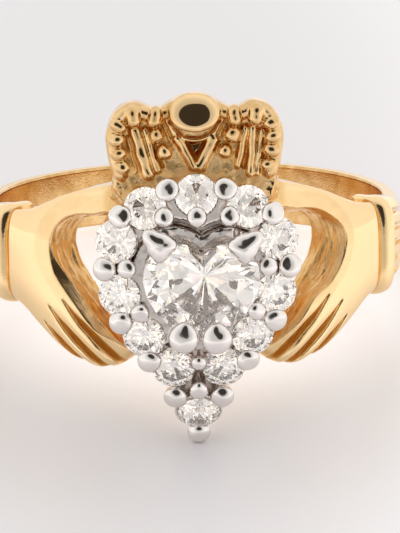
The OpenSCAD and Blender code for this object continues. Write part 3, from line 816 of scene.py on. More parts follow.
# -------------------------------------------------------------------------- band, sleeves, rolls
@dataclass(frozen=True)
class Shank:
    """The plain band, which widens into two ribbed sleeves and ends in two cuff rolls.

    Attributes:
        band_w: width of the band at the back.
        band_t: its thickness.
        cuff_half: half the height of the cuff.
        roll_full: how far the roll stands over the cuff.
        fullness: share of the way from band to palm, by angle from the front.
        flare: share of the way from the band's width up to the cuff's, likewise.
        rib_run: share of the ribs' depth, likewise.
        rib_deep: depth of the grooves between the ribs.
        rib_half: half a groove's width, as a share of the half height.
        ribs: middles of the grooves, as shares of the half height.
        corner: radius of the outer edges.
    """

    band_w: float = 2.75
    band_t: float = 1.0
    cuff_half: float = 2.04
    roll_full: float = 0.22
    fullness: tuple = ((52, 0.3), (53.2, 0.55), (56, 0.68), (58.6, 0.75), (63, 0.68), (70, 0.5), (78, 0.2),
                       (84, 0), (90, 0), (180, 0))
    flare: tuple = ((52, 1), (58.6, 1), (63, 0.9), (68, 0.72), (74, 0.38), (79, 0.1), (84, 0), (90, 0),
                    (180, 0))
    rib_run: tuple = ((58.9, 0), (60.1, 1), (70, 1), (77, 0.5), (81, 0))
    rib_deep: float = 0.2
    rib_half: float = 0.075
    ribs: tuple = (-0.68, -0.34, 0.0, 0.34, 0.68)
    corner: float = 0.16

    OUTER, INNER, SIDE_STEPS = 121, 31, 4
    # Width and depth in mm of the eased edges on the inside
    LIP, LIP_DEEP = 0.12, 0.1

    def roll(self, deg: Array) -> Array:
        """The roll's swelling (1 - t^2)^p from 0 at its sides to 1 on its ridge, steeper by the hand."""
        t = (deg - (ROLL_FROM + ROLL_TO) / 2) / ((ROLL_TO - ROLL_FROM) / 2)
        return np.clip(1 - t * t, 0, 1) ** np.where(t < 0, 0.45, 0.75)

    def section(self, deg: Array) -> Array:
        """Cross-sections at angles from the front.

        Outside, r falls from the middle by an edge drop times a power of the share u of the half
        height, less the ribs' rounded grooves, and by a quarter circle at the corner. Inside it is
        the hole's radius, eased off at its edges.

        Args:
            deg: the angles, from 0 to 180.

        Returns:
            An array of angle, profile point, and radius or height.
        """
        d = deg[:, None]
        roll = self.roll(d)
        outer = BORE_R + self.band_t + 0.7 * smooth_table(self.fullness)(d) + 2 * self.roll_full * roll
        half = self.band_w / 2 + (self.cuff_half - self.band_w / 2) * smooth_table(self.flare)(d)
        half = half + 0.6 * self.roll_full * roll - 0.35 * ease(ROLL_FROM + 0.1, ROLL_FROM - 0.5, d)
        corner = self.corner + 0.22 * np.sqrt(roll)
        share = ease(ROLL_TO, 84, d)
        drop, power = 0.5 - 0.06 * share, 4.2 - 1.9 * share
        u = np.sin(np.linspace(-math.pi / 2, math.pi / 2, self.OUTER))[None, :]
        t = np.clip(1 - (1 - np.abs(u)) * half / corner, 0, 1)
        r_out = outer - drop * np.abs(u) ** power - corner * (1 - np.sqrt(1 - t * t))
        depth = self.rib_deep * smooth_table(self.rib_run)(np.clip(d, 58.9, 81))
        for rib in self.ribs:
            q = np.clip(np.abs(u - rib) / self.rib_half, 0, 1)
            r_out = r_out - depth * np.sqrt(1 - q ** 2) * (q < 1)
        v = np.sin(np.linspace(math.pi / 2, -math.pi / 2, self.INNER))[None, :]
        t_in = np.clip(1 - (1 - np.abs(v)) * half / self.LIP, 0, 1)
        under_hand = 0.2 * ease(ROLL_FROM + 0.4, ROLL_FROM - 0.1, d)
        r_in = BORE_R + under_hand + self.LIP_DEEP * (1 - np.sqrt(1 - t_in * t_in))
        w = (np.arange(1, self.SIDE_STEPS) / self.SIDE_STEPS)[None, :]
        up = r_out[:, -1:] + (r_in[:, :1] - r_out[:, -1:]) * w
        down = r_in[:, -1:] + (r_out[:, :1] - r_in[:, -1:]) * w
        radius = np.concatenate([r_out, up, r_in, down], axis=1)
        height = np.concatenate([half * u, half + 0 * up, half * v, -half + 0 * down], axis=1)
        return np.stack([radius, height], axis=-1)

    def build(self, pose: RestingPose) -> bpy.types.Object:
        """Carries the sections round the back, from one hidden end in a hand to the other.

        Args:
            pose: how the ring lies.

        Returns:
            The piece.
        """
        swell = (ROLL_FROM + ROLL_TO) / 2 - (ROLL_TO - ROLL_FROM) / 2 * np.cos(np.linspace(0, math.pi, 41))
        near = np.concatenate([[52.0, 52.6, 53.0], swell, np.arange(58.8, 83, 0.3)])
        turns = np.concatenate([near, np.arange(83, 277.5, 1.0), 360 - near[::-1]])
        half_turn = np.minimum(turns, 360 - turns)
        profile = self.section(half_turn)
        rows, columns = profile.shape[:2]
        spots = round_the_hole(np.radians(turns)[:, None], profile[..., 1], profile[..., 0]).reshape(-1, 3)
        ends = spots.reshape(rows, columns, 3)[[0, -1]].mean(axis=1)
        spots = np.concatenate([spots, ends])
        faces = np.concatenate([lattice_faces(rows, columns, wrap_columns=True),
                                end_fan(0, columns, rows * columns, True),
                                end_fan((rows - 1) * columns, columns, rows * columns + 1, False)])
        u = np.sin(np.linspace(-math.pi / 2, math.pi / 2, self.OUTER))
        in_rib = np.max([np.clip(1 - np.abs(u - rib) / self.rib_half, 0, 1) for rib in self.ribs], axis=0)
        # Painted shade: darker in the grooves between the ribs, along the grooves at both sides of the cuff
        # roll, and over the whole inside of the band
        recess = np.zeros((rows, columns))
        recess[:, :self.OUTER] = in_rib * smooth_table(self.rib_run)(np.clip(half_turn, 58.9, 81))[:, None]
        groove = sum(dark * np.clip(1 - np.abs(half_turn - edge) / wide, 0, 1)
                     for edge, wide, dark in ((ROLL_FROM, 0.35, 1), (ROLL_TO, 0.4, 0.7)))
        recess[:, :self.OUTER] = np.maximum(recess[:, :self.OUTER], groove[:, None])
        inside = np.zeros((rows, columns))
        inside[:, self.OUTER + self.SIDE_STEPS:self.OUTER + self.SIDE_STEPS + self.INNER - 2] = 1
        recess = np.maximum(recess, 0.8 * inside)
        flank = np.clip(1.25 - np.abs(half_turn - ROLL_FROM - 0.7) / 1.1, 0, 1)[:, None]
        cast = np.maximum(0.22 * inside, 0.15 * flank)
        recess, cast = (np.concatenate([mark.ravel(), [0, 0]]) for mark in (recess, cast))
        return make_piece("band_and_sleeves", pose.place(spots), faces_outwards(spots, faces), sharp_deg=50,
                          marks={"as_cast": cast, "recess": np.clip(recess, 0, 1)})


# ------------------------------------------------------------------------------------- the crown
@dataclass(frozen=True)
class Crown:
    """The cast crown: outline with two lobes, a rounded rim, ball, beads, bars and a grained ground.

    It is worked out over x, the height z, and the distance d in front of the hole's axis.

    Attributes:
        half: the outline's right half, from the top middle down.
        back: where the crown's back lies.
        face: where its sunk ground lies.
        rim_r: radius of the rounded rim.
        beads: side (0 for both), x and z at both ends of each bead, d of its middle, and radius.
        bars: side (0 for both), x and z at both ends of each bar, half width and height.
        furrows: side, x and z at both ends of each deep line between bars.
        notch: corners of the right half of the deep place between the middle bars.
        ball: height of the ball's middle, half its width, height and depth, and its tilt in degrees.
        thumb: the hand whose thumb's side the crown runs into.
        flare: how far from their corner that fillet reaches.
        rough: height of the ground's grain.
        sway: how far the hand-cut lines stray from straight.
    """

    half: tuple = ((0, 7.6), (0.5, 7.54), (1.0, 7.3), (1.45, 7.04), (1.9, 7.08), (2.3, 7.26), (2.6, 7.3),
                   (3.1, 7.14), (3.5, 6.72), (3.76, 6.0), (3.74, 5.3), (3.62, 4.6), (3.46, 4.05), (3.36, 3.5),
                   (2.9, 2.95), (1.8, 2.6), (0.8, 2.55))
    back: float = 9.12
    face: float = 10.1
    rim_r: float = 0.3
    beads: tuple = ((0, 2.6, 6.6, 2.62, 6.84, 10.34, 0.38), (0, 1.72, 6.56, 1.66, 6.76, 10.32, 0.36),
                    (0, 3.18, 6.3, 3.28, 6.38, 10.3, 0.31), (0, 3.26, 5.75, 3.33, 5.77, 10.3, 0.33),
                    (0, 3.18, 5.13, 3.25, 5.14, 10.3, 0.33), (0, 3.04, 4.53, 3.1, 4.54, 10.28, 0.3),
                    (0, 1.6, 5.84, 1.62, 5.88, 10.3, 0.35), (0, 1.25, 5.12, 1.26, 5.16, 10.28, 0.33))
    bars: tuple = ((-1, 2.56, 6.1, 1.98, 4.15, 0.2, 0.3), (-1, 2.1, 6.06, 1.6, 4.35, 0.12, 0.2),
                   (1, 2.14, 6.08, 1.82, 4.5, 0.11, 0.26), (1, 2.46, 6.1, 2.36, 4.2, 0.13, 0.28),
                   (1, 2.84, 5.95, 2.62, 4.2, 0.1, 0.2), (-1, 0.72, 5.72, 0.04, 4.5, 0.13, 0.3),
                   (1, 0.76, 5.66, 0.24, 4.5, 0.2, 0.24), (0, 1.2, 6.6, 0.88, 5.9, 0.05, 0.2),
                   (0, 1.32, 6.3, 1.0, 5.6, 0.03, 0.12), (-1, 2.86, 5.8, 2.5, 4.3, 0.03, 0.1))
    furrows: tuple = ((-1, 2.36, 6.05, 1.8, 4.3), (-1, 1.96, 6.1, 1.4, 4.5), (1, 2.3, 6.1, 2.1, 4.4),
                      (1, 2.66, 6.05, 2.5, 4.3))
    notch: tuple = ((-0.2, 5.72), (0.6, 5.72), (0.02, 4.66), (-0.2, 4.66))
    ball: tuple = (6.86, 1.1, 0.86, 0.29, 21.5)
    thumb: Hand = Hand(Side.RIGHT)
    flare: float = 1.25
    rough: float = 0.06
    sway: float = 0.05
    cell: float = 0.05

    # Depths in mm of the furrows and of the notch, the latter at a height and its growth per mm above
    FURROW, NOTCH, NOTCH_Z, NOTCH_GROWS = 0.16, 0.42, 4.9, 0.3
    # Widths in mm of the fillets where the rim, the beads, the bars and the ball meet the ground
    RIM_FILLET, BEAD_FILLET, BAR_FILLET, BALL_FILLET = 0.08, 0.04, 0.05, 0.04
    # Radius in mm of the raised line round the ball, and half its width
    BROW_R, BROW_HALF = 1.12, 0.1

    @cached_property
    def edge(self) -> Chart:
        """Distance to the outline, a smooth curve through the half's points and their mirror images."""
        right = np.array(self.half)
        outline = smooth_path(np.concatenate([right[:0:-1] * (-1, 1), right]), 5)
        return Chart(lambda x, z: outline_distance(x, z, outline), (-5.3, 5.3), (2.7, 8.2))

    def distance(self, x: Array, z: Array, d: Array) -> Array:
        """The crown's distance function.

        A slab within the outline; a rim, the round of radius rim_r about a line inside the outline;
        the ball, an ellipsoid a little squared off across; a raised line round it; beads, rounds
        about short lines; bars, flat-topped ridges.

        Args:
            x: across.
            z: height.
            d: distance in front of the hole's axis.

        Returns:
            The distances, negative in the gold.
        """
        edge = self.edge(x, z)
        lumps = 0.7 * Grain(31)(x / 0.3, z / 0.42, d / 0.3) + 0.3 * Grain(32)(x / 0.13, z / 0.17, d / 0.2)
        wave = Grain(35)(x / 0.45, z / 0.45, d / 0.45)
        wx, wz = (q + self.sway * Grain(seed)(x / 0.5, z / 0.5, 0 * x) for q, seed in ((x, 36), (z, 37)))
        m = np.abs(wx)

        def to_line(side: int, *ends: float) -> Array:
            """Distance to a short line on one side, or on both for side 0."""
            return path_distance(side * wx if side else m, wz, np.reshape(ends, (2, 2)))[0]

        inner = ease(-0.3, -0.55, edge)
        ground = self.face + self.rough * lumps * inner
        notch = outline_distance(m, wz, np.array(self.notch))
        ground = ground - (self.NOTCH + self.NOTCH_GROWS * (z - self.NOTCH_Z)) * ease(0.04, -0.12, notch)
        for furrow in self.furrows:
            ground = ground - self.FURROW * ease(0.12, 0.03, to_line(*furrow))
        body = soft_max(soft_max(edge + 0.03, d - ground, 0.1), self.back - d, 0.25)
        rim_in = self.rim_r + 0.06 * ease(6.2, 7.0, z) * ease(1.4, 2.2, m)
        rim = np.hypot(edge + rim_in, 0.9 * (d - self.face - 0.02)) - rim_in
        rim = np.maximum(rim, self.face - 0.9 - d)
        body = soft_min(body, rim + 0.5 * ease(4.2, 3.6, z), self.RIM_FILLET)
        for *bead, mid, radius in self.beads:
            body = soft_min(body, np.hypot(to_line(*bead), 0.9 * (d - mid)) - radius, self.BEAD_FILLET)
        for *bar, half, tall in self.bars:
            line = to_line(*bar)
            slope = np.clip(self.face + tall - d, 0, tall + 0.2)
            ridge = soft_max(line - half - 0.3 * slope, d - self.face - tall + 0.9 * line ** 2, 0.12)
            ridge = np.maximum(ridge, self.face - 0.25 - d)
            body = soft_min(body, ridge, self.BAR_FILLET)
        height, wide, tall, deep, tilt = self.ball
        brow = np.hypot(np.hypot(x, z - height + 0.1) - self.BROW_R, d - self.face - 0.1) - self.BROW_HALF
        body = soft_min(body, brow + 0.5 * ease(6.3, 6.8, z), 0.05)
        c, t = math.cos(math.radians(tilt)), math.sin(math.radians(tilt))
        up, out = z - height, d - self.face - 0.4
        q = np.hypot(x / wide, (up * c - out * t) / tall) ** 2.6 + np.abs((up * t + out * c) / deep) ** 2.0
        q = q ** 0.42
        ball = (q - 1) * deep * 1.15 / np.maximum(1, 0.7 + 0.3 * q)
        ball = np.maximum(ball, self.face - 0.2 - d) + 0.006 * wave
        body = soft_min(body + 0.018 * wave, ball, self.BALL_FILLET)
        return self.with_foot(x, z, d, np.abs(x), body)

    def with_foot(self, x: Array, z: Array, d: Array, m: Array, body: Array) -> Array:
        """Joins the crown to the thumbs by a wide rough fillet; the rest of the thumbs stays hidden.

        Args:
            x: across.
            z: height.
            d: distance in front of the hole's axis.
            m: distance from the middle plane.
            body: the crown so far.

        Returns:
            The joined distances.
        """
        grain = 0.65 * Grain(33)(x / 0.4, z / 0.4, d / 0.4) + 0.35 * Grain(34)(x / 0.15, z / 0.15, d / 0.15)
        way, r = np.arctan2(m, d) * self.thumb.ROUND_R, np.hypot(m, d)
        palm, top, _ = self.thumb.bare(way, z)
        thumb = soft_max(r - palm, z - top, 0.25) + 0.06 + 0.3 * ease(3.0, 2.5, z)
        reach = 0.12 + (self.flare - 0.12) * ease(9.0, 9.6, d)
        near = ease(1, 0.4, np.abs(body - thumb) / reach)
        body = soft_min(body, thumb, reach) + 0.09 * grain * near * ease(9.0, 9.4, d)
        return np.maximum(np.maximum(body, m - 4.95), np.maximum(2.45 - z, self.back - 0.35 - d))

    def build(self, pose: RestingPose) -> bpy.types.Object:
        """Makes the crown's mesh, marked as cast on its grained ground, and with painted shade in its
        creases, its notch and at its foot, and lighter over the rest of the crown, least by the ball.

        Args:
            pose: how the ring lies.

        Returns:
            The piece.
        """
        box = ((-5.1, 5.15), (2.3, 8.0), (8.4, 11.2))
        points, faces = net_surface(self.distance, box, self.cell)
        x, z, d = points.T
        edge = self.edge(x, z)
        # Painted shade: darker where the skin is closed in, in the notch and at the foot, and evenly darker
        # over the crown except round the ball
        closed = ease(0.15, 0.75, cavity(self.distance, points, 0.16))
        low = ease(self.face + 0.2, self.face + 0.04, d)
        cast = low * ease(-0.25, -0.45, edge) * ease(self.face - 0.35, self.face - 0.3, d)
        foot = ease(4.6, 4.0, z) * ease(10.0, 9.7, d)
        by_ball = ease(1, 0.8, np.hypot(x / 1.2, z - self.ball[0]))
        by_ball = by_ball * ease(self.face + 0.2, self.face + 0.3, d)
        crown_shade = (0.62 - 0.42 * by_ball) * (1 - 0.65 * cast)
        in_notch = ease(0.1, 0, outline_distance(np.abs(x), z, np.array(self.notch)))
        closed = np.maximum(closed, in_notch * (d < self.face) * (d > self.back + 0.2))
        recess = np.maximum(np.maximum(0.15 * cast + 0.3 * foot, crown_shade), closed)
        spots = in_front(points)
        return make_piece("crown", pose.place(spots), faces_outwards(spots, faces),
                          marks={"as_cast": np.clip(0.8 * cast + 0.4 * foot, 0, 1),
                                 "recess": np.clip(recess, 0, 1)})


@dataclass(frozen=True)
class HeadWall:
    """The gold wall behind the cluster, heart-shaped, with the light hole behind the heart stone.

    Attributes:
        margin: how far it reaches past the middles of the halo stones.
        proud: how far its back stands out of the finger hole's round, over the hands' joint.
        cast: how much of the cast finish it keeps, from 0 to 1.
        recess: how much painted shade darkens it, likewise.
        cell: the net's cell.
    """

    margin: float = 0.5
    proud: float = 0.04
    cast: float = 0.15
    recess: float = 0.2
    cell: float = 0.07

    def distance(self, x: Array, z: Array, d: Array) -> Array:
        """The wall's distance function: a slab in the widened outline, less bore and light hole."""
        slab = outline_distance(x, z, smooth_path(HALO_RING, 4, closed=True)) - self.margin
        wall = soft_max(slab, d - BACK_R, 0.12)
        hole = LIGHT_R - np.hypot(x, z - LIGHT_Z)
        return soft_max(soft_max(wall, BORE_R - self.proud - np.hypot(x, d), 0.1), hole, 0.08)

    def build(self, pose: RestingPose) -> bpy.types.Object:
        """Makes the wall's mesh.

        Args:
            pose: how the ring lies.

        Returns:
            The piece.
        """
        box = ((-4.4, 4.45), (-7.2, 4.4), (7.4, 9.6))
        points, faces = net_surface(self.distance, box, self.cell)
        spots = in_front(points)
        # The whole wall, behind the cluster, is evenly darkened with painted shade
        marks = {"as_cast": np.full(len(points), self.cast), "recess": np.full(len(points), self.recess)}
        return make_piece("head_wall", pose.place(spots), faces_outwards(spots, faces), marks=marks)


# ------------------------------------------------------------------------------- the white gold
@dataclass(frozen=True)
class Gallery:
    """The white gold plate behind the stones, with a cup under each and the walls of the heart's seat.

    Attributes:
        thick: depth of the plate.
        margin: how far it reaches past the middles of the halo stones.
        floor: distance of the sunk ground by the heart's cleft from the hole's axis.
        rim: distance of the rim round the heart's seat from the hole's axis.
        cup_drop: how far a cup's rim lies under its stone's girdle.
        cup_deep: height of a cup.
        cup_foot: a cup's foot, as a share of the stone's radius.
        seat_gap: gap between a stone and its seat.
        cell: the net's cell.
    """

    thick: float = 1.35
    margin: float = 0.12
    floor: float = 10.35
    rim: float = 11.45
    cup_drop: float = 0.1
    cup_deep: float = 0.85
    cup_foot: float = 0.62
    seat_gap: float = 0.04
    cell: float = 0.07

    # How far a stone's cone draws in for each mm down, and the cosine of that slope
    CONE, CONE_COS = 0.844, 0.76

    def distance(self, x: Array, z: Array, d: Array) -> Array:
        """The plate's distance function.

        A slab in the outline through the outer halo stones, sunk around the heart's seat, and less
        a cone for each stone; the lowest stone has a thinner tail of its own.

        Args:
            x: across.
            z: height.
            d: distance in front of the hole's axis.

        Returns:
            The distances, negative in the white gold.
        """
        edge = self.edge(x, z) - self.margin
        front = GALLERY_Y + self.thick
        heart = self.heart(x, z)
        cleft = ease(0.6, 1.0, z) * ease(1.9, 1.5, np.abs(x))
        well = np.maximum(-heart + 0.16, heart - 0.75)
        grain = Grain(41)(x / 0.2, z / 0.2, d / 0.2)
        sunk = np.maximum(self.floor + 0.012 * grain - d, well + 1 - cleft)
        plate = soft_max(edge, d - front, 0.1)
        plate = soft_max(plate, -sunk, 0.08)
        rim = np.maximum(np.abs(heart - 0.2) - 0.26, d - self.rim + 0.5 * cleft + 0.005 * grain)
        plate = soft_min(plate, rim, 0.1)
        tail = soft_max(self.tail(x, z), d - GALLERY_Y - 0.6, 0.1)
        metal = np.maximum(soft_min(plate, tail, 0.1), GALLERY_Y - d)
        for i, p in enumerate(HALO_RING):
            origin, axes = on_dome(p, TAIL_LEAN if i == LOWEST else 0.0)
            away = (x - origin[0], -d - origin[1], z - origin[2])
            local = [sum(q * axes[j, k] for j, q in enumerate(away)) for k in range(3)]
            radius = np.hypot(local[0], local[1])
            cone = (radius - HALO_D / 2 - self.seat_gap - self.CONE * local[2]) * self.CONE_COS
            metal = np.maximum(metal, -cone)
        pit = 1.2 * (self.reach(x, z) - 1 + (HEART_Y - d) / HEART_DEEP)
        return np.maximum(metal, -(pit - self.seat_gap))

    def chart(self, outline: Array) -> Chart:
        """Distance to an outline, over the whole plate."""
        return Chart(lambda x, z: outline_distance(x, z, outline), (-4.1, 4.1), (-6.8, 4.1))

    @cached_property
    def edge(self) -> Chart:
        """Distance to the line through the eleven upper stones."""
        return self.chart(np.delete(HALO_RING, LOWEST, axis=0))

    @cached_property
    def heart(self) -> Chart:
        """Distance to the heart stone's outline."""
        return self.chart(heart_outline_in_front())

    @cached_property
    def reach(self) -> Chart:
        """How far a place lies from the heart's middle, as a share of the way to its outline."""
        outline = heart_outline_in_front()
        origin, axes = on_heart()
        middle = (origin + HEART_MIDDLE[0] * axes[:, 0] + (HEART_MIDDLE[1] + HEART_DOWN) * axes[:, 1])[[0, 2]]
        arm = outline - middle
        angle, far = np.arctan2(arm[:, 0], arm[:, 1]), np.hypot(*arm.T)
        order = np.argsort(angle)

        def share(x: Array, z: Array) -> Array:
            """Distance over reach in that direction."""
            x, z = x - middle[0], z - middle[1]
            return np.hypot(x, z) / np.interp(np.arctan2(x, z), angle[order], far[order], period=2 * math.pi)
        return Chart(share, (-4.1, 4.1), (-6.8, 4.1))

    @cached_property
    def tail(self) -> Chart:
        """Distance to the outline of the tail under the lowest stone."""
        return self.chart(np.array([HALO_RING[LOWEST + 1], HALO_RING[LOWEST - 1],
                                    (0.45, -HALO_DOWN), (-0.45, -HALO_DOWN)]))

    def cup(self, i: int) -> tuple[Array, Array]:
        """A cup's skin: its profile turned about the stone's axis.

        Args:
            i: which halo stone.

        Returns:
            Points in the ring's frame and faces.
        """
        r = HALO_D / 2
        top, low = -self.cup_drop, -self.cup_drop - self.cup_deep
        bowl_low = -0.9 * r - self.seat_gap
        wide = 1.13 if i == LOWEST else 1.04
        rim = wide * r
        profile = np.array([
            (0.0, bowl_low), (0.05, bowl_low + 0.02), (r + self.seat_gap + 1.185 * top, top),
            (rim - 0.05, top + 0.03), (rim, top - 0.03), (rim - 0.02, top - 0.2),
            (self.cup_foot * r, low), (0.3 * r, low - 0.02), (0.0, low - 0.02)])
        steps = 40
        t = np.linspace(0, 2 * math.pi, steps, endpoint=False)[None, :]
        reach, up = profile[:, :1], profile[:, 1:]
        local = np.stack([reach * np.cos(t), reach * np.sin(t), up + 0 * t], axis=-1)
        origin, axes = on_dome(HALO_RING[i], TAIL_LEAN if i == LOWEST else 0.0)
        points = origin + local.reshape(-1, 3) @ axes.T
        return points, faces_outwards(points, lattice_faces(len(profile), steps, wrap_columns=True))

    def build(self, pose: RestingPose) -> list[bpy.types.Object]:
        """Makes the plate and the cups.

        Args:
            pose: how the ring lies.

        Returns:
            The pieces.
        """
        box = ((-3.9, 3.95), (-6.6, 3.95), (GALLERY_Y - 0.15, self.rim + 0.2))
        points, faces = net_surface(self.distance, box, self.cell)
        x, z, d = points.T
        spots = in_front(points)
        # Painted shade and warm painted reflection: darker down from the plate's face into the sunk ground
        # round the heart's seat, and a little over the plate outside the seat
        seat = ease(1.0, 0.94, self.reach(x, z))
        dim = ease(GALLERY_Y + self.thick, self.floor, d) * (1 - seat)
        plate = make_piece("gallery", pose.place(spots), faces_outwards(spots, faces), sharp_deg=40,
                           marks={"as_cast": 0.4 * dim, "recess": 0.35 * (1 - seat) + 0.5 * dim})
        points, faces = join_skins([self.cup(i) for i in range(len(HALO_RING))])
        cups = make_piece("stone_cups", pose.place(points), faces, sharp_deg=35)
        return [plate, cups]


class ClawForm(Enum):
    """The shapes that a setter gives the end of a prong.

    Each lists the bumps on its outline: height as a share of the radius, then the place off the
    aim and the width in radians.
    """

    ROUND = ((0.07, 0, 0.45),)
    LEAF = ((0.62, 0, 0.5), (0.26, 2.3, 0.42))
    DROP = ((0.2, 0, 0.45),)


@dataclass(frozen=True)
class Claw:
    """One prong: a domed head on a thinner post.

    Attributes:
        origin: middle of its head at the girdles, in the ring's frame.
        axes: a matrix whose columns are its across, up and outward directions.
        radius: the head's radius.
        tall: how far the head's top stands over the origin.
        post: how far the post goes down.
        form: the head's outline.
        aim: the way that a leaf or a drop points, in degrees from across towards up.
    """

    origin: Array
    axes: Array
    radius: float
    tall: float
    post: float
    form: ClawForm = ClawForm.ROUND
    aim: float = 0.0

    ROUND_STEPS = 44

    def outline(self, t: Array) -> Array:
        """The head's radius by direction: a circle, a three-cornered leaf, or a circle with a tip."""
        turn = t - math.radians(self.aim)
        off = np.abs(np.arctan2(np.sin(turn), np.cos(turn)))
        bumps = sum(high * np.exp(-((off - at) / wide) ** 2) for high, at, wide in self.form.value)
        return self.radius * (1 + bumps)

    def skin(self) -> tuple[Array, Array]:
        """The prong's skin.

        From the top the head follows radius * sin and height * cos of an angle, then draws in to
        the post, whose section is round.

        Returns:
            Points in the ring's frame and faces.
        """
        t = np.linspace(0, 2 * math.pi, self.ROUND_STEPS, endpoint=False)
        phi = np.radians(np.array([4, 10, 17, 25, 33, 41, 50, 59, 68, 78, 90]))
        head = np.stack([np.sin(phi) ** 0.92, self.tall * np.cos(phi)], axis=1)
        neck = np.array([(0.99, 0.35), (0.95, 0.7), (0.87, 1.0), (0.8, 1.6)]) * (1, -0.42 * self.radius)
        base = np.array([(0.74, -self.post), (0.5, -self.post - 0.02)])
        profile = np.concatenate([head, neck, base])
        blend = np.clip(np.arange(len(profile)) - len(head) + 1, 0, 5)[:, None] / 5
        reach = self.outline(t)[None, :] * (1 - blend) + self.radius * blend
        r = profile[:, :1] * reach
        x, y, up = r * np.cos(t), r * np.sin(t), np.broadcast_to(profile[:, 1:], r.shape)
        burnish = Grain(51)(x / 0.42 + 7 * self.origin[0], y / 0.42 + 5 * self.origin[2], 0 * up)
        depth = 0.055 if self.form is ClawForm.ROUND else 0.02
        up = up + depth * burnish * np.clip(up / self.tall, 0, 1)
        local = np.stack([x, y, up], axis=-1)
        rows, steps = r.shape
        ends = [[0, 0, up[0].mean()], [0, 0, -self.post - 0.02]]
        local = np.concatenate([local.reshape(-1, 3), ends])
        faces = np.concatenate([lattice_faces(rows, steps, wrap_columns=True),
                                end_fan(0, steps, len(local) - 2, True),
                                end_fan((rows - 1) * steps, steps, len(local) - 1, False)])
        points = self.origin + local @ self.axes.T
        return points, faces_outwards(points, faces)


@dataclass(frozen=True)
class Prongs:
    """All the prongs: beads round the halo, outside and inside, the tip, and four on the heart.

    Attributes:
        outer_r: radius of an outer head.
        inner_r: radius of an inner head.
        heart_r: radius of a heart prong's head.
        tip_r: radius of the head at the lowest tip.
        outside: distance of outer prongs from the line between their two stones.
        inside: likewise for the inner ones.
        beside: the gaps of the halo that have an inner prong as well.
        alone: other inner prongs: shares of the halo's half width and height, and of the radius.
        claw: the place of the right upper claw on the heart's girdle, from the middle.
        toe: likewise of the right lower one.
        lift: how far the halo prongs' heads start over the girdles.
        heart_lift: likewise for the prongs of the heart.
        domes: heights of the heads between two stones, alone and at the tip, as shares of the radius.
        heart_domes: heights in mm of the heads of the claws and the toes.
        posts: lengths of the posts of the halo, the tip and the heart.
    """

    outer_r: float = 0.52
    inner_r: float = 0.42
    heart_r: float = 0.6
    tip_r: float = 0.5
    outside: float = 0.5
    inside: float = 0.42
    beside: tuple = (2, 3, 8, 9)
    alone: tuple = ((0, 0.74, 1.05), (0.4, 0.735, 1.05), (-0.4, 0.735, 1.05), (0, -0.6, 0.85),
                    (0, -0.815, 1.0))
    claw: tuple = (1.78, 1.36)
    toe: tuple = (0.7, -2.6)
    lift: float = 0.12
    heart_lift: float = 0.16
    domes: tuple = (0.56, 0.62, 0.72)
    heart_domes: tuple = (0.37, 0.36)
    posts: tuple = (1.0, 0.85, 2.0)

    def halo_claws(self) -> list[Claw]:
        """The beads between neighbouring halo stones, and the inner ones."""
        claws = []
        count = len(HALO_RING)
        dome, lone_dome, tip_dome = self.domes
        for i in range(count):
            a, b = HALO_RING[i], HALO_RING[(i + 1) % count]
            out = np.array([a[1] - b[1], b[0] - a[0]])
            out = out / np.linalg.norm(out)
            rows = [(self.outside, self.outer_r)] + [(-self.inside, self.inner_r)] * (i in self.beside)
            for far, radius in rows:
                origin, axes = on_dome((a + b) / 2 + far * out)
                claws.append(Claw(origin + self.lift * axes[:, 2], axes, radius, dome * radius,
                                  self.posts[0], aim=53.0 * i))
        for across, up, share in self.alone:
            origin, axes = on_dome(halo_place((across, up)))
            form = ClawForm.DROP if across == 0 and up < -0.7 else ClawForm.ROUND
            claws.append(Claw(origin + self.lift * axes[:, 2], axes, self.inner_r * share,
                              lone_dome * self.inner_r, self.posts[0], form, 90))
        origin, axes = on_dome(np.array([0, -HALO_DOWN - HALO_D / 2 - 0.05]), TAIL_LEAN)
        claws.append(Claw(origin + axes @ (0, 0.09, 0.1), axes, self.tip_r, tip_dome * self.tip_r,
                          self.posts[1]))
        return claws

    def heart_claws(self) -> list[Claw]:
        """Two leaf-shaped claws over the heart's lobes and two drops beside its point."""
        origin, axes = on_heart()
        claws = []
        for s in (-1, 1):
            spot = origin + axes @ (s * self.claw[0], self.claw[1] + HEART_DOWN, self.heart_lift)
            claws.append(Claw(spot, axes, self.heart_r, self.heart_domes[0], self.posts[2],
                              ClawForm.LEAF, 90 - s * 48))
            spot = origin + axes @ (s * self.toe[0], self.toe[1] + HEART_DOWN, self.heart_lift)
            claws.append(Claw(spot, axes, 1.1 * self.heart_r, self.heart_domes[1], self.posts[2],
                              ClawForm.DROP, 90 + s * 6))
        return claws

    def build(self, pose: RestingPose) -> list[bpy.types.Object]:
        """Makes the halo's prongs and the heart's prongs.

        Args:
            pose: how the ring lies.

        Returns:
            The pieces.
        """
        pieces = []
        for name, claws in (("halo_prongs", self.halo_claws()), ("heart_prongs", self.heart_claws())):
            points, faces = join_skins([c.skin() for c in claws])
            pieces.append(make_piece(name, pose.place(points), faces, sharp_deg=55))
        return pieces


# ----------------------------------------------------------------------------------- the stones
def heart_girdle(steps: int) -> Array:
    """The heart's outline, clockwise from the cleft, with points at equal lengths along a smooth curve.

    Args:
        steps: stretches on each half.

    Returns:
        Points of the girdle from the middle of the heart's frame.
    """
    curve = smooth_path(np.array(HEART_HALF), 8)
    run = np.concatenate([[0], np.cumsum(np.linalg.norm(np.diff(curve, axis=0), axis=1))])
    at = np.linspace(0, run[-1], steps + 1)
    right = np.stack([np.interp(at, run, curve[:, k]) for k in (0, 1)], axis=1)
    return np.concatenate([right, right[-2:0:-1] * (-1, 1)])


def heart_outline_in_front() -> Array:
    """The heart's outline as x and z of the ring's frame, turned about its point."""
    origin, axes = on_heart()
    p = heart_girdle(28) + (0, HEART_DOWN)
    return (origin + p[:, :1] * axes[:, 0] + p[:, 1:] * axes[:, 1])[:, [0, 2]]


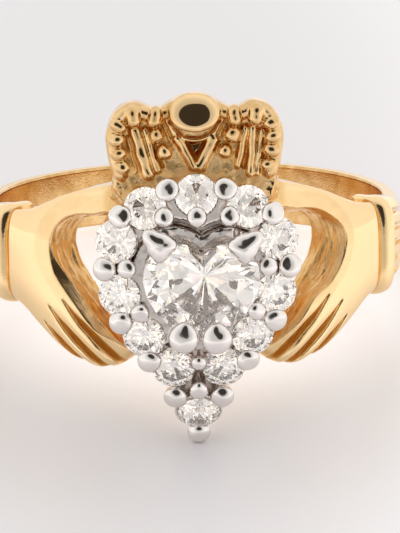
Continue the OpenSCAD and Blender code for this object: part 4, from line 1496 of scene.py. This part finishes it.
@dataclass(frozen=True)
class Cut:
    """A brilliant cut on any outline, in shares of the outline's reach from the stone's middle.

    Attributes:
        table: size of the table.
        table_up: height of the table over the girdle's middle.
        star: reach of the points between table and girdle facets.
        girdle: half the girdle's thickness.
        low: reach of the lower points near the culet.
        slope: steepness of the pavilion.
    """

    table: float = 0.56
    table_up: float = 0.31
    star: float = 0.8
    girdle: float = 0.03
    low: float = 0.24
    slope: float = 0.844

    def skin(self, outline: Array, middle: Array, unit: float) -> tuple[Array, Array]:
        """The facets: table, stars, kites, upper halves, girdle, lower halves and pavilion mains.

        The even points of the outline bear the mains. A star point lies at the height where the
        plane of its kite passes: girdle + (1 - star * cos of half a main's angle) * crown slope.

        Args:
            outline: an even number of girdle points in order.
            middle: the point of the outline's plane over the culet.
            unit: the length of a share of 1 upright.

        Returns:
            Points over the outline's plane and triangles, as rows that repeat their last number.
        """
        n = len(outline)
        half = n // 2
        arm = outline - middle
        k, odd, even = np.arange(half), 2 * np.arange(half) + 1, 2 * np.arange(half)
        lean = math.cos(math.pi / half)
        crown_slope = (self.table_up - self.girdle) / (1 - self.table)
        star_up = self.girdle + (1 - self.star * lean) * crown_slope
        low_down = -self.girdle - (1 - self.low * lean) * self.slope
        between = 0.5 * (arm[even] + arm[(even + 2) % n])
        between = between * (np.linalg.norm(arm[odd], axis=1) / np.linalg.norm(between, axis=1))[:, None]
        spread = 0.5 * (between + arm[odd])

        def ring(reach: Array, share: float, up: float) -> Array:
            """A ring of points at a share of a reach and a height."""
            flat = middle + reach * share
            return np.column_stack([flat, np.full(len(flat), up * unit)])

        points = np.concatenate([
            ring(arm[even], self.table, self.table_up), ring(spread, self.star, star_up),
            ring(arm, 1, self.girdle), ring(arm, 1, -self.girdle), ring(spread, self.low, low_down),
            [[*middle, self.table_up * unit], [*middle, -(self.girdle + self.slope) * unit]]])
        t0, s0, g0, h0, l0 = 0, half, 2 * half, 2 * half + n, 2 * half + 2 * n
        top, tip = l0 + half, l0 + half + 1
        k1, kb = (k + 1) % half, (k - 1) % half
        e, o, e1 = 2 * k, 2 * k + 1, (2 * k + 2) % n
        tri = np.concatenate([
            np.stack([np.full(half, top), t0 + k, t0 + k1], 1), np.stack([t0 + k, s0 + k, t0 + k1], 1),
            np.stack([t0 + k, g0 + e, s0 + k], 1), np.stack([t0 + k, s0 + kb, g0 + e], 1),
            np.stack([s0 + k, g0 + e, g0 + o], 1), np.stack([s0 + k, g0 + o, g0 + e1], 1),
            np.stack([g0 + e, h0 + e, h0 + o], 1), np.stack([g0 + e, h0 + o, g0 + o], 1),
            np.stack([g0 + o, h0 + o, h0 + e1], 1), np.stack([g0 + o, h0 + e1, g0 + e1], 1),
            np.stack([h0 + e, l0 + k, h0 + o], 1), np.stack([h0 + o, l0 + k, h0 + e1], 1),
            np.stack([h0 + e, np.full(half, tip), l0 + k], 1),
            np.stack([h0 + e, l0 + kb, np.full(half, tip)], 1)])
        return points, np.column_stack([tri, tri[:, 2]])


@dataclass(frozen=True)
class Stones:
    """The heart stone and the twelve halo brilliants, each a cut stone in its own CAD node's place.

    Attributes:
        round_cut: the cut of the halo stones.
        heart_cut: the cut of the heart stone.
    """

    round_cut: Cut = Cut()
    heart_cut: Cut = Cut(table=0.62, table_up=0.21, star=0.84, girdle=0.0245, low=0.7, slope=0.84)

    def halo_stone(self, i: int) -> tuple[Array, Array]:
        """The skin of one halo stone, turned a little differently from its neighbour.

        Args:
            i: which stone, from the top one clockwise.

        Returns:
            Points in the ring's frame and faces.
        """
        t = np.linspace(0, 2 * math.pi, 16, endpoint=False) + 0.35 * i
        outline = HALO_D / 2 * np.stack([np.sin(t), np.cos(t)], axis=1)
        local, faces = self.round_cut.skin(outline, np.zeros(2), HALO_D / 2)
        origin, axes = on_dome(HALO_RING[i], TAIL_LEAN if i == LOWEST else 0.0)
        points = origin + local @ axes.T
        return points, faces_outwards(points, faces)

    def heart_stone(self) -> tuple[Array, Array]:
        """The skin of the heart stone in the ring's frame, and its faces."""
        outline = heart_girdle(10) + (0, HEART_DOWN)
        middle = np.array(HEART_MIDDLE) + (0, HEART_DOWN)
        unit = HEART_DEEP / (self.heart_cut.girdle + self.heart_cut.slope)
        local, faces = self.heart_cut.skin(outline, middle, unit)
        origin, axes = on_heart()
        points = origin + local @ axes.T
        return points, faces_outwards(points, faces)

    def build(self, pose: RestingPose) -> list[bpy.types.Object]:
        """Makes the thirteen stones, each standing for its CAD node.

        Args:
            pose: how the ring lies.

        Returns:
            The pieces.
        """
        pieces = []
        for i in range(len(HALO_RING)):
            points, faces = self.halo_stone(i)
            stone = make_piece(f"brilliant_{i + 1:02d}", pose.place(points), faces, smooth=False)
            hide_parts(f"halo_stone_{i + 1:02d}")
            pieces.append(stone)
        points, faces = self.heart_stone()
        stone = make_piece("heart_brilliant", pose.place(points), faces, smooth=False)
        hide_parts("heart_stone")
        return pieces + [stone]


# --------------------------------------------------------------------------------- the finishes
def srgb(code: str) -> tuple[float, float, float, float]:
    """Turns an sRGB hex code such as #ffe0b0 into linear red, green, blue and alpha."""
    parts = [int(code[k:k + 2], 16) / 255 for k in (1, 3, 5)]
    return tuple(c / 12.92 if c <= 0.04045 else ((c + 0.055) / 1.055) ** 2.4 for c in parts) + (1.0,)


def add_node(tree: bpy.types.NodeTree, kind: str, settings: dict | None = None,
             links: dict | None = None) -> bpy.types.Node:
    """Adds a shader node.

    Args:
        tree: the node tree.
        kind: the node's type, without the word ShaderNode.
        settings: values by name or number of an input, or by name of the node's own setting.
        links: sockets to join to inputs, by the input's name or number.

    Returns:
        The node.
    """
    node = tree.nodes.new("ShaderNode" + kind)
    for key, value in (settings or {}).items():
        if isinstance(key, str) and hasattr(node, key):
            setattr(node, key, value)
        else:
            node.inputs[key].default_value = value
    for key, socket in (links or {}).items():
        tree.links.new(socket, node.inputs[key])
    return node


def fresh_material(name: str) -> tuple[bpy.types.Material, Adder]:
    """A material without nodes, and add_node for its tree."""
    material = bpy.data.materials.new(name)
    material.use_nodes = True
    material.node_tree.nodes.clear()
    return material, partial(add_node, material.node_tree)


def span(low: float, high: float, start: float, end: float, bend: str = "SMOOTHSTEP") -> dict:
    """Settings that carry low to high over to start to end, bent as that way of blending says."""
    return {"interpolation_type": bend, "From Min": low, "From Max": high, "To Min": start, "To Max": end}


def per_mm(size: float) -> float:
    """The scale of a pattern whose features are that many mm wide, on coordinates in metres."""
    return 1 / (size * MM)


@dataclass(frozen=True)
class CastMetal:
    """A cast and polished precious metal.

    Polished it is a near mirror with a faint waviness of the buff; in grooves and recesses its colour is
    darkened towards a painted shade colour, which stands in for shade; where the polish never reached, it
    keeps the grain of the mould.

    Attributes:
        name: the material's name.
        polished: colour of the polished metal.
        recess: colour of the painted shade in grooves and recesses, standing in for shade.
        cast: colour of the unpolished metal.
        gloss: roughness of the polished metal.
        matt: roughness of the unpolished metal.
    """

    name: str
    polished: str
    recess: str
    cast: str
    gloss: float
    matt: float

    # Width in mm, detail and roughness of the lumps, of the grain and of the buff's waves
    NOISES = ((0.5, 4.0, 0.6), (0.09, 3.0, 0.65), (1.6, 2.0, 0.5))
    # Height of a layer of the mould and width of a cloud of rough metal, in mm
    LAYER, CLOUD = 0.14, 1.1
    # Strength and depth in mm of the buff's waves and of the mould's grain
    WAVE_BUMP, GRAIN_BUMP = (0.05, 0.02), (0.8, 0.03)

    def make(self) -> bpy.types.Material:
        """Makes the material.

        Returns:
            The material.
        """
        material, add = fresh_material(self.name)
        place = add("TexCoord").outputs["Object"]
        as_cast, recess, layer = (add("Attribute", {"attribute_name": mark}).outputs["Fac"]
                                  for mark in ("as_cast", "recess", "layer"))
        lumps, grain, waves = (
            add("TexNoise", {"Scale": per_mm(size), "Detail": detail, "Roughness": fall},
                {"Vector": place}).outputs["Fac"]
            for size, detail, fall in self.NOISES)
        # The mould's layers: fine lines where a mesh gives its depth as "layer", else broad clouds
        depth = add("Math", {"operation": "MULTIPLY", 1: 1 / self.LAYER}, {0: layer}).outputs[0]
        drawn = add("VectorMath", {"operation": "MULTIPLY_ADD", 1: (per_mm(self.CLOUD),) * 3},
                    {0: place, 2: depth}).outputs["Vector"]
        strata = add("TexNoise", {"Scale": 1.0, "Detail": 3.0, "Roughness": 0.65},
                     {"Vector": drawn}).outputs["Fac"]
        both = add("Math", {"operation": "ADD"}, {0: lumps, 1: strata}).outputs[0]
        patchy = add("MapRange", span(0.8, 1.2, 0.4, 1.0, "LINEAR"), {"Value": both}).outputs["Result"]
        colour = add("RGB").outputs["Color"]
        colour.default_value = srgb(self.polished)
        # Painted shade: the colour is darkened towards the shade colour where that mark is set, then turned
        # towards the unpolished colour where the metal is as cast
        for mark, tone in ((recess, self.recess), (as_cast, self.cast)):
            share = add("Math", {"operation": "MULTIPLY"}, {0: mark, 1: patchy}).outputs[0]
            colour = add("Mix", {"data_type": "RGBA", 7: srgb(tone)}, {0: share, 6: colour}).outputs[2]
        shine = add("MapRange", {"To Min": self.gloss * 0.8, "To Max": self.gloss * 1.25},
                    {"Value": waves}).outputs["Result"]
        rough = add("MapRange", {"To Max": self.matt}, {"Value": as_cast, "To Min": shine}).outputs["Result"]
        strength, deep = self.WAVE_BUMP
        wave_bump = add("Bump", {"Strength": strength, "Distance": deep * MM}, {"Height": waves})
        strength, deep = self.GRAIN_BUMP
        rough_depth = add("Math", {"operation": "MULTIPLY", 1: strength}, {0: as_cast}).outputs[0]
        relief = add("Math", {"operation": "MULTIPLY_ADD", 1: 1.6}, {0: strata, 2: grain}).outputs[0]
        bump = add("Bump", {"Distance": deep * MM},
                   {"Height": relief, "Strength": rough_depth, "Normal": wave_bump.outputs["Normal"]})
        shader = add("BsdfPrincipled", {"Metallic": 1.0},
                     {"Base Color": colour, "Roughness": rough, "Normal": bump.outputs["Normal"]})
        add("OutputMaterial", links={"Surface": shader.outputs["BSDF"]})
        return material


@dataclass(frozen=True)
class CutDiamond:
    """Cut and polished diamond, near colourless: clear, hard-edged, with a very high index."""

    name: str = "diamond_brilliant_cut"
    body: str = "#fdfcfa"
    haze: str = "#f3f1ee"
    index: float = 2.417

    def make(self) -> bpy.types.Material:
        """Makes the material.

        Returns:
            The material.
        """
        material, add = fresh_material(self.name)
        place = add("TexCoord").outputs["Object"]
        haze = add("TexNoise", {"Scale": per_mm(0.7), "Detail": 2.0}, {"Vector": place}).outputs["Fac"]
        body = add("Mix", {"data_type": "RGBA", 6: srgb(self.body), 7: srgb(self.haze)}, {0: haze}).outputs[2]
        shader = add("BsdfPrincipled", {"IOR": self.index, "Roughness": 0.0, "Transmission Weight": 1.0},
                     {"Base Color": body})
        add("OutputMaterial", links={"Surface": shader.outputs["BSDF"]})
        return material


YELLOW_GOLD = CastMetal("yellow_gold_18ct_cast_polished", "#fcdba8", "#bd8e4b", "#e4b56c", 0.06, 0.34)
WHITE_GOLD = CastMetal("white_gold_rhodium_plated_polished", "#ece6e2", "#a39184", "#cfc3ba", 0.12, 0.42)
DIAMOND = CutDiamond()


# ---------------------------------------------------------------------------------- the studio
@dataclass(frozen=True)
class Studio:
    """A white tent with one opening for the camera, a pale glossy floor that glows with painted light round
    the ring, and the camera itself.

    Attributes:
        yaw: the camera's direction from the ring's middle plane, in degrees.
        rise: its rise over the ring's own level, before the ring leans back.
        roll: its roll.
        far: its distance from the hole's middle, in mm.
        lens: focal length on a 36 mm sensor.
        shift: the lens's shift across and up.
        tent: colour and strength of the tent's wall.
        dark: colour of what the opening shows, straight and through the stones.
        opening: the opening's middle, as angles from -Y and up, and half its width and height, in degrees.
        panels: least and greatest brightness of the tent's panels through the stones.
        warm: their colour.
        behind: colour of what the camera sees past the floor.
        floor: the floor's two colours, and the colour of its painted glow.
        floor_half: half the floor's width, in m.
        painted_glow: the most painted light that the floor gives off.
    """

    yaw: float = -1.51
    rise: float = 10.81
    roll: float = -0.88
    far: float = 200.0
    lens: float = 301.2
    shift: tuple = (0.0193, -0.0769)
    tent: tuple = ("#fffefc", 1.13)
    dark: tuple = ("#3a3632", "#dcd7d3")
    opening: tuple = (3.0, 38.0, 24.0, 28.0)
    panels: tuple = (0.8, 1.75)
    warm: str = "#f7ebe1"
    behind: str = "#ecebeb"
    floor: tuple = ("#f6f4f7", "#f7f4f6", "#fffcfc")
    floor_half: float = 1.5
    painted_glow: float = 0.36

    def towards_camera(self) -> tuple[Array, Array, Array]:
        """The camera's right, up and backward directions in the ring's frame."""
        a, e, r = map(math.radians, (self.yaw, self.rise, self.roll))
        back = np.array([math.sin(a) * math.cos(e), -math.cos(a) * math.cos(e), math.sin(e)])
        right = np.array([math.cos(a), math.sin(a), 0.0])
        up = np.cross(back, right)
        c, s = math.cos(r), math.sin(r)
        return c * right + s * up, c * up - s * right, back

    def add_camera(self, pose: RestingPose) -> None:
        """Puts the camera where the ring was seen from.

        Args:
            pose: how the ring lies.
        """
        right, up, back = (pose.turn(v[None, :])[0] for v in self.towards_camera())
        camera = bpy.data.objects.new("camera", bpy.data.cameras.new("camera"))
        bpy.context.scene.collection.objects.link(camera)
        turn = Matrix([[right[k], up[k], back[k]] for k in range(3)]).to_4x4()
        spot = (back * self.far + (0, pose.shift, pose.lift)) * MM
        camera.matrix_world = Matrix.Translation(Vector(spot)) @ turn
        camera.data.lens = self.lens
        camera.data.sensor_width = 36
        camera.data.shift_x, camera.data.shift_y = self.shift
        camera.data.clip_start, camera.data.clip_end = 0.01, 20
        bpy.context.scene.camera = camera

    def add_tent(self) -> None:
        """Lights the scene by a world that is a white tent, dim at the back, dark at the camera's opening.

        The opening is the cone around its middle direction f where the length of (d.r / tan half
        width, d.u / tan half height) is less than d.f, for a direction d and the opening's right r
        and up u. Through the stones the wall's panels show uneven, so that the facets differ.
        """
        world = bpy.data.worlds.new("tent")
        bpy.context.scene.world = world
        world.use_nodes = True
        world.node_tree.nodes.clear()
        add = partial(add_node, world.node_tree)
        az, el, wide, tall = map(math.radians, self.opening)
        forward = np.array([math.sin(az) * math.cos(el), -math.cos(az) * math.cos(el), math.sin(el)])
        right = np.array([math.cos(az), math.sin(az), 0.0])
        up = np.cross(forward, right) * -1
        direction = add("TexCoord").outputs["Generated"]
        shares = [
            add("VectorMath", {"operation": "DOT_PRODUCT", 1: tuple(v)}, {0: direction}).outputs["Value"]
            for v in (right / math.tan(wide), up / math.tan(tall), forward)]
        flat = add("CombineXYZ", links={"X": shares[0], "Y": shares[1]}).outputs["Vector"]
        off = add("VectorMath", {"operation": "LENGTH"}, {0: flat}).outputs["Value"]
        inside = add("Math", {"operation": "SUBTRACT"}, {0: shares[2], 1: off}).outputs[0]
        hole = add("MapRange", span(-0.04, 0.06, 0, 1), {"Value": inside}).outputs["Result"]
        dusk = add("MapRange", span(-1.35, 0.0, 1.0, 0.6), {"Value": inside}).outputs["Result"]
        paths = add("LightPath").outputs
        through = paths["Is Transmission Ray"]
        dark = add("Mix", {"data_type": "RGBA", 6: srgb(self.dark[0]), 7: srgb(self.dark[1])},
                   {0: through}).outputs[2]
        backward = add("SeparateXYZ", links={0: direction}).outputs["Y"]
        wall = add("MapRange", span(-0.5, 0.6, 0.99, 0.9), {"Value": backward}).outputs["Result"]
        panels = add("TexNoise", {"Scale": 3.2, "Detail": 1.0}, {"Vector": direction})
        uneven = add("MapRange", span(0.38, 0.62, *self.panels, "LINEAR"),
                     {"Value": panels.outputs["Fac"]}).outputs["Result"]
        wall = add("Math", {"operation": "MULTIPLY"}, {0: wall, 1: dusk}).outputs[0]
        wall = add("Mix", links={0: through, 2: wall, 3: uneven}).outputs[0]
        warm = add("Mix", {"data_type": "RGBA", "blend_type": "SOFT_LIGHT", 0: 1.0, 6: srgb(self.warm)},
                   {7: panels.outputs["Color"]}).outputs[2]
        tint = add("Mix", {"data_type": "RGBA", 6: srgb(self.tent[0])}, {0: through, 7: warm}).outputs[2]
        wall_colour = add("Mix", {"data_type": "RGBA", "blend_type": "MULTIPLY", 0: 1.0},
                          {6: tint, 7: wall}).outputs[2]
        colour = add("Mix", {"data_type": "RGBA"}, {0: hole, 6: wall_colour, 7: dark}).outputs[2]
        light = add("Background", {"Strength": self.tent[1]}, {"Color": colour}).outputs[0]
        seen = add("Background", {"Color": srgb(self.behind), "Strength": 1.0}).outputs[0]
        both = add("MixShader", links={0: paths["Is Camera Ray"], 1: light, 2: seen})
        add("OutputWorld", links={"Surface": both.outputs[0]})

    def add_floor(self) -> None:
        """Lays the floor, wide enough for every view: a sheet of white acrylic with a soft gloss, which glows
        with painted light round the ring.
        """
        half = self.floor_half
        corners = np.array([(-half, -half, 0), (half, -half, 0), (half, half, 0), (-half, half, 0)])
        floor = make_piece("floor", corners, np.array([[0, 1, 2, 3]]), smooth=False)
        material, add = fresh_material("white_acrylic_sheet")
        place = add("TexCoord").outputs["Object"]
        cloud = add("TexNoise", {"Scale": per_mm(60), "Detail": 1.0}, {"Vector": place}).outputs["Fac"]
        colour = add("Mix", {"data_type": "RGBA", 6: srgb(self.floor[0]), 7: srgb(self.floor[1])},
                     {0: cloud}).outputs[2]
        # Painted light: the sheet glows in a patch under the ring behind the head, where its shadow falls,
        # and far out, sooner on the right
        ramp = add("VectorMath", {"operation": "MULTIPLY_ADD", 1: (0.5, 0.25, 1), 2: (4 * MM, -4 * MM, 0)},
                   {0: place}).outputs["Vector"]
        patch = add("VectorMath", {"operation": "ADD", 1: (0, -3 * MM, 0)}, {0: place}).outputs["Vector"]
        glows = []
        for spot, near, far, centre, rim in ((ramp, 6, 20, 0.0, self.painted_glow), (patch, 5, 13, self.painted_glow, 0.0)):
            away = add("VectorMath", {"operation": "LENGTH"}, {0: spot}).outputs["Value"]
            fade = span(near * MM, far * MM, centre, rim)
            glows.append(add("MapRange", fade, {"Value": away}).outputs["Result"])
        painted_glow = add("Math", {"operation": "ADD"}, {0: glows[0], 1: glows[1]}).outputs[0]
        shader = add("BsdfPrincipled",
                     {"Roughness": 0.28, "IOR": 1.49, "Emission Color": srgb(self.floor[2])},
                     {"Base Color": colour, "Emission Strength": painted_glow})
        add("OutputMaterial", links={"Surface": shader.outputs["BSDF"]})
        floor.data.materials.append(material)

    def build(self, pose: RestingPose) -> None:
        """Makes the camera, the tent and the floor, and shows colours as they are.

        Args:
            pose: how the ring lies.
        """
        self.add_camera(pose)
        self.add_tent()
        self.add_floor()
        bpy.context.scene.view_settings.view_transform = "Standard"
        light = bpy.context.scene.cycles
        light.max_bounces, light.transmission_bounces, light.glossy_bounces = 24, 24, 16


def finish_piece(piece: bpy.types.Object, material: bpy.types.Material) -> None:
    """Dresses a piece, fixes it to the ring and reports it.

    Args:
        piece: the piece.
        material: its material.
    """
    piece.data.materials.append(material)
    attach(piece, "root")
    LOG.info("%s: %d faces", piece.name, len(piece.data.polygons))


def main() -> None:
    """Builds the ring piece by piece, then the studio around it."""
    logging.basicConfig(level=logging.INFO, format="%(message)s")
    pose = RestingPose.from_record(frame["record"])
    gold, white, diamond = YELLOW_GOLD.make(), WHITE_GOLD.make(), DIAMOND.make()
    shank = Shank().build(pose)
    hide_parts("gold_ring")
    for piece in (shank, Hand(Side.LEFT).build(pose), Hand(Side.RIGHT).build(pose), Crown().build(pose),
                  HeadWall().build(pose)):
        finish_piece(piece, gold)
    gallery = Gallery().build(pose)
    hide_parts("cluster_setting")
    for piece in gallery + Prongs().build(pose):
        finish_piece(piece, white)
    for piece in Stones().build(pose):
        finish_piece(piece, diamond)
    Studio().build(pose)


if __name__ == "__main__":
    main()
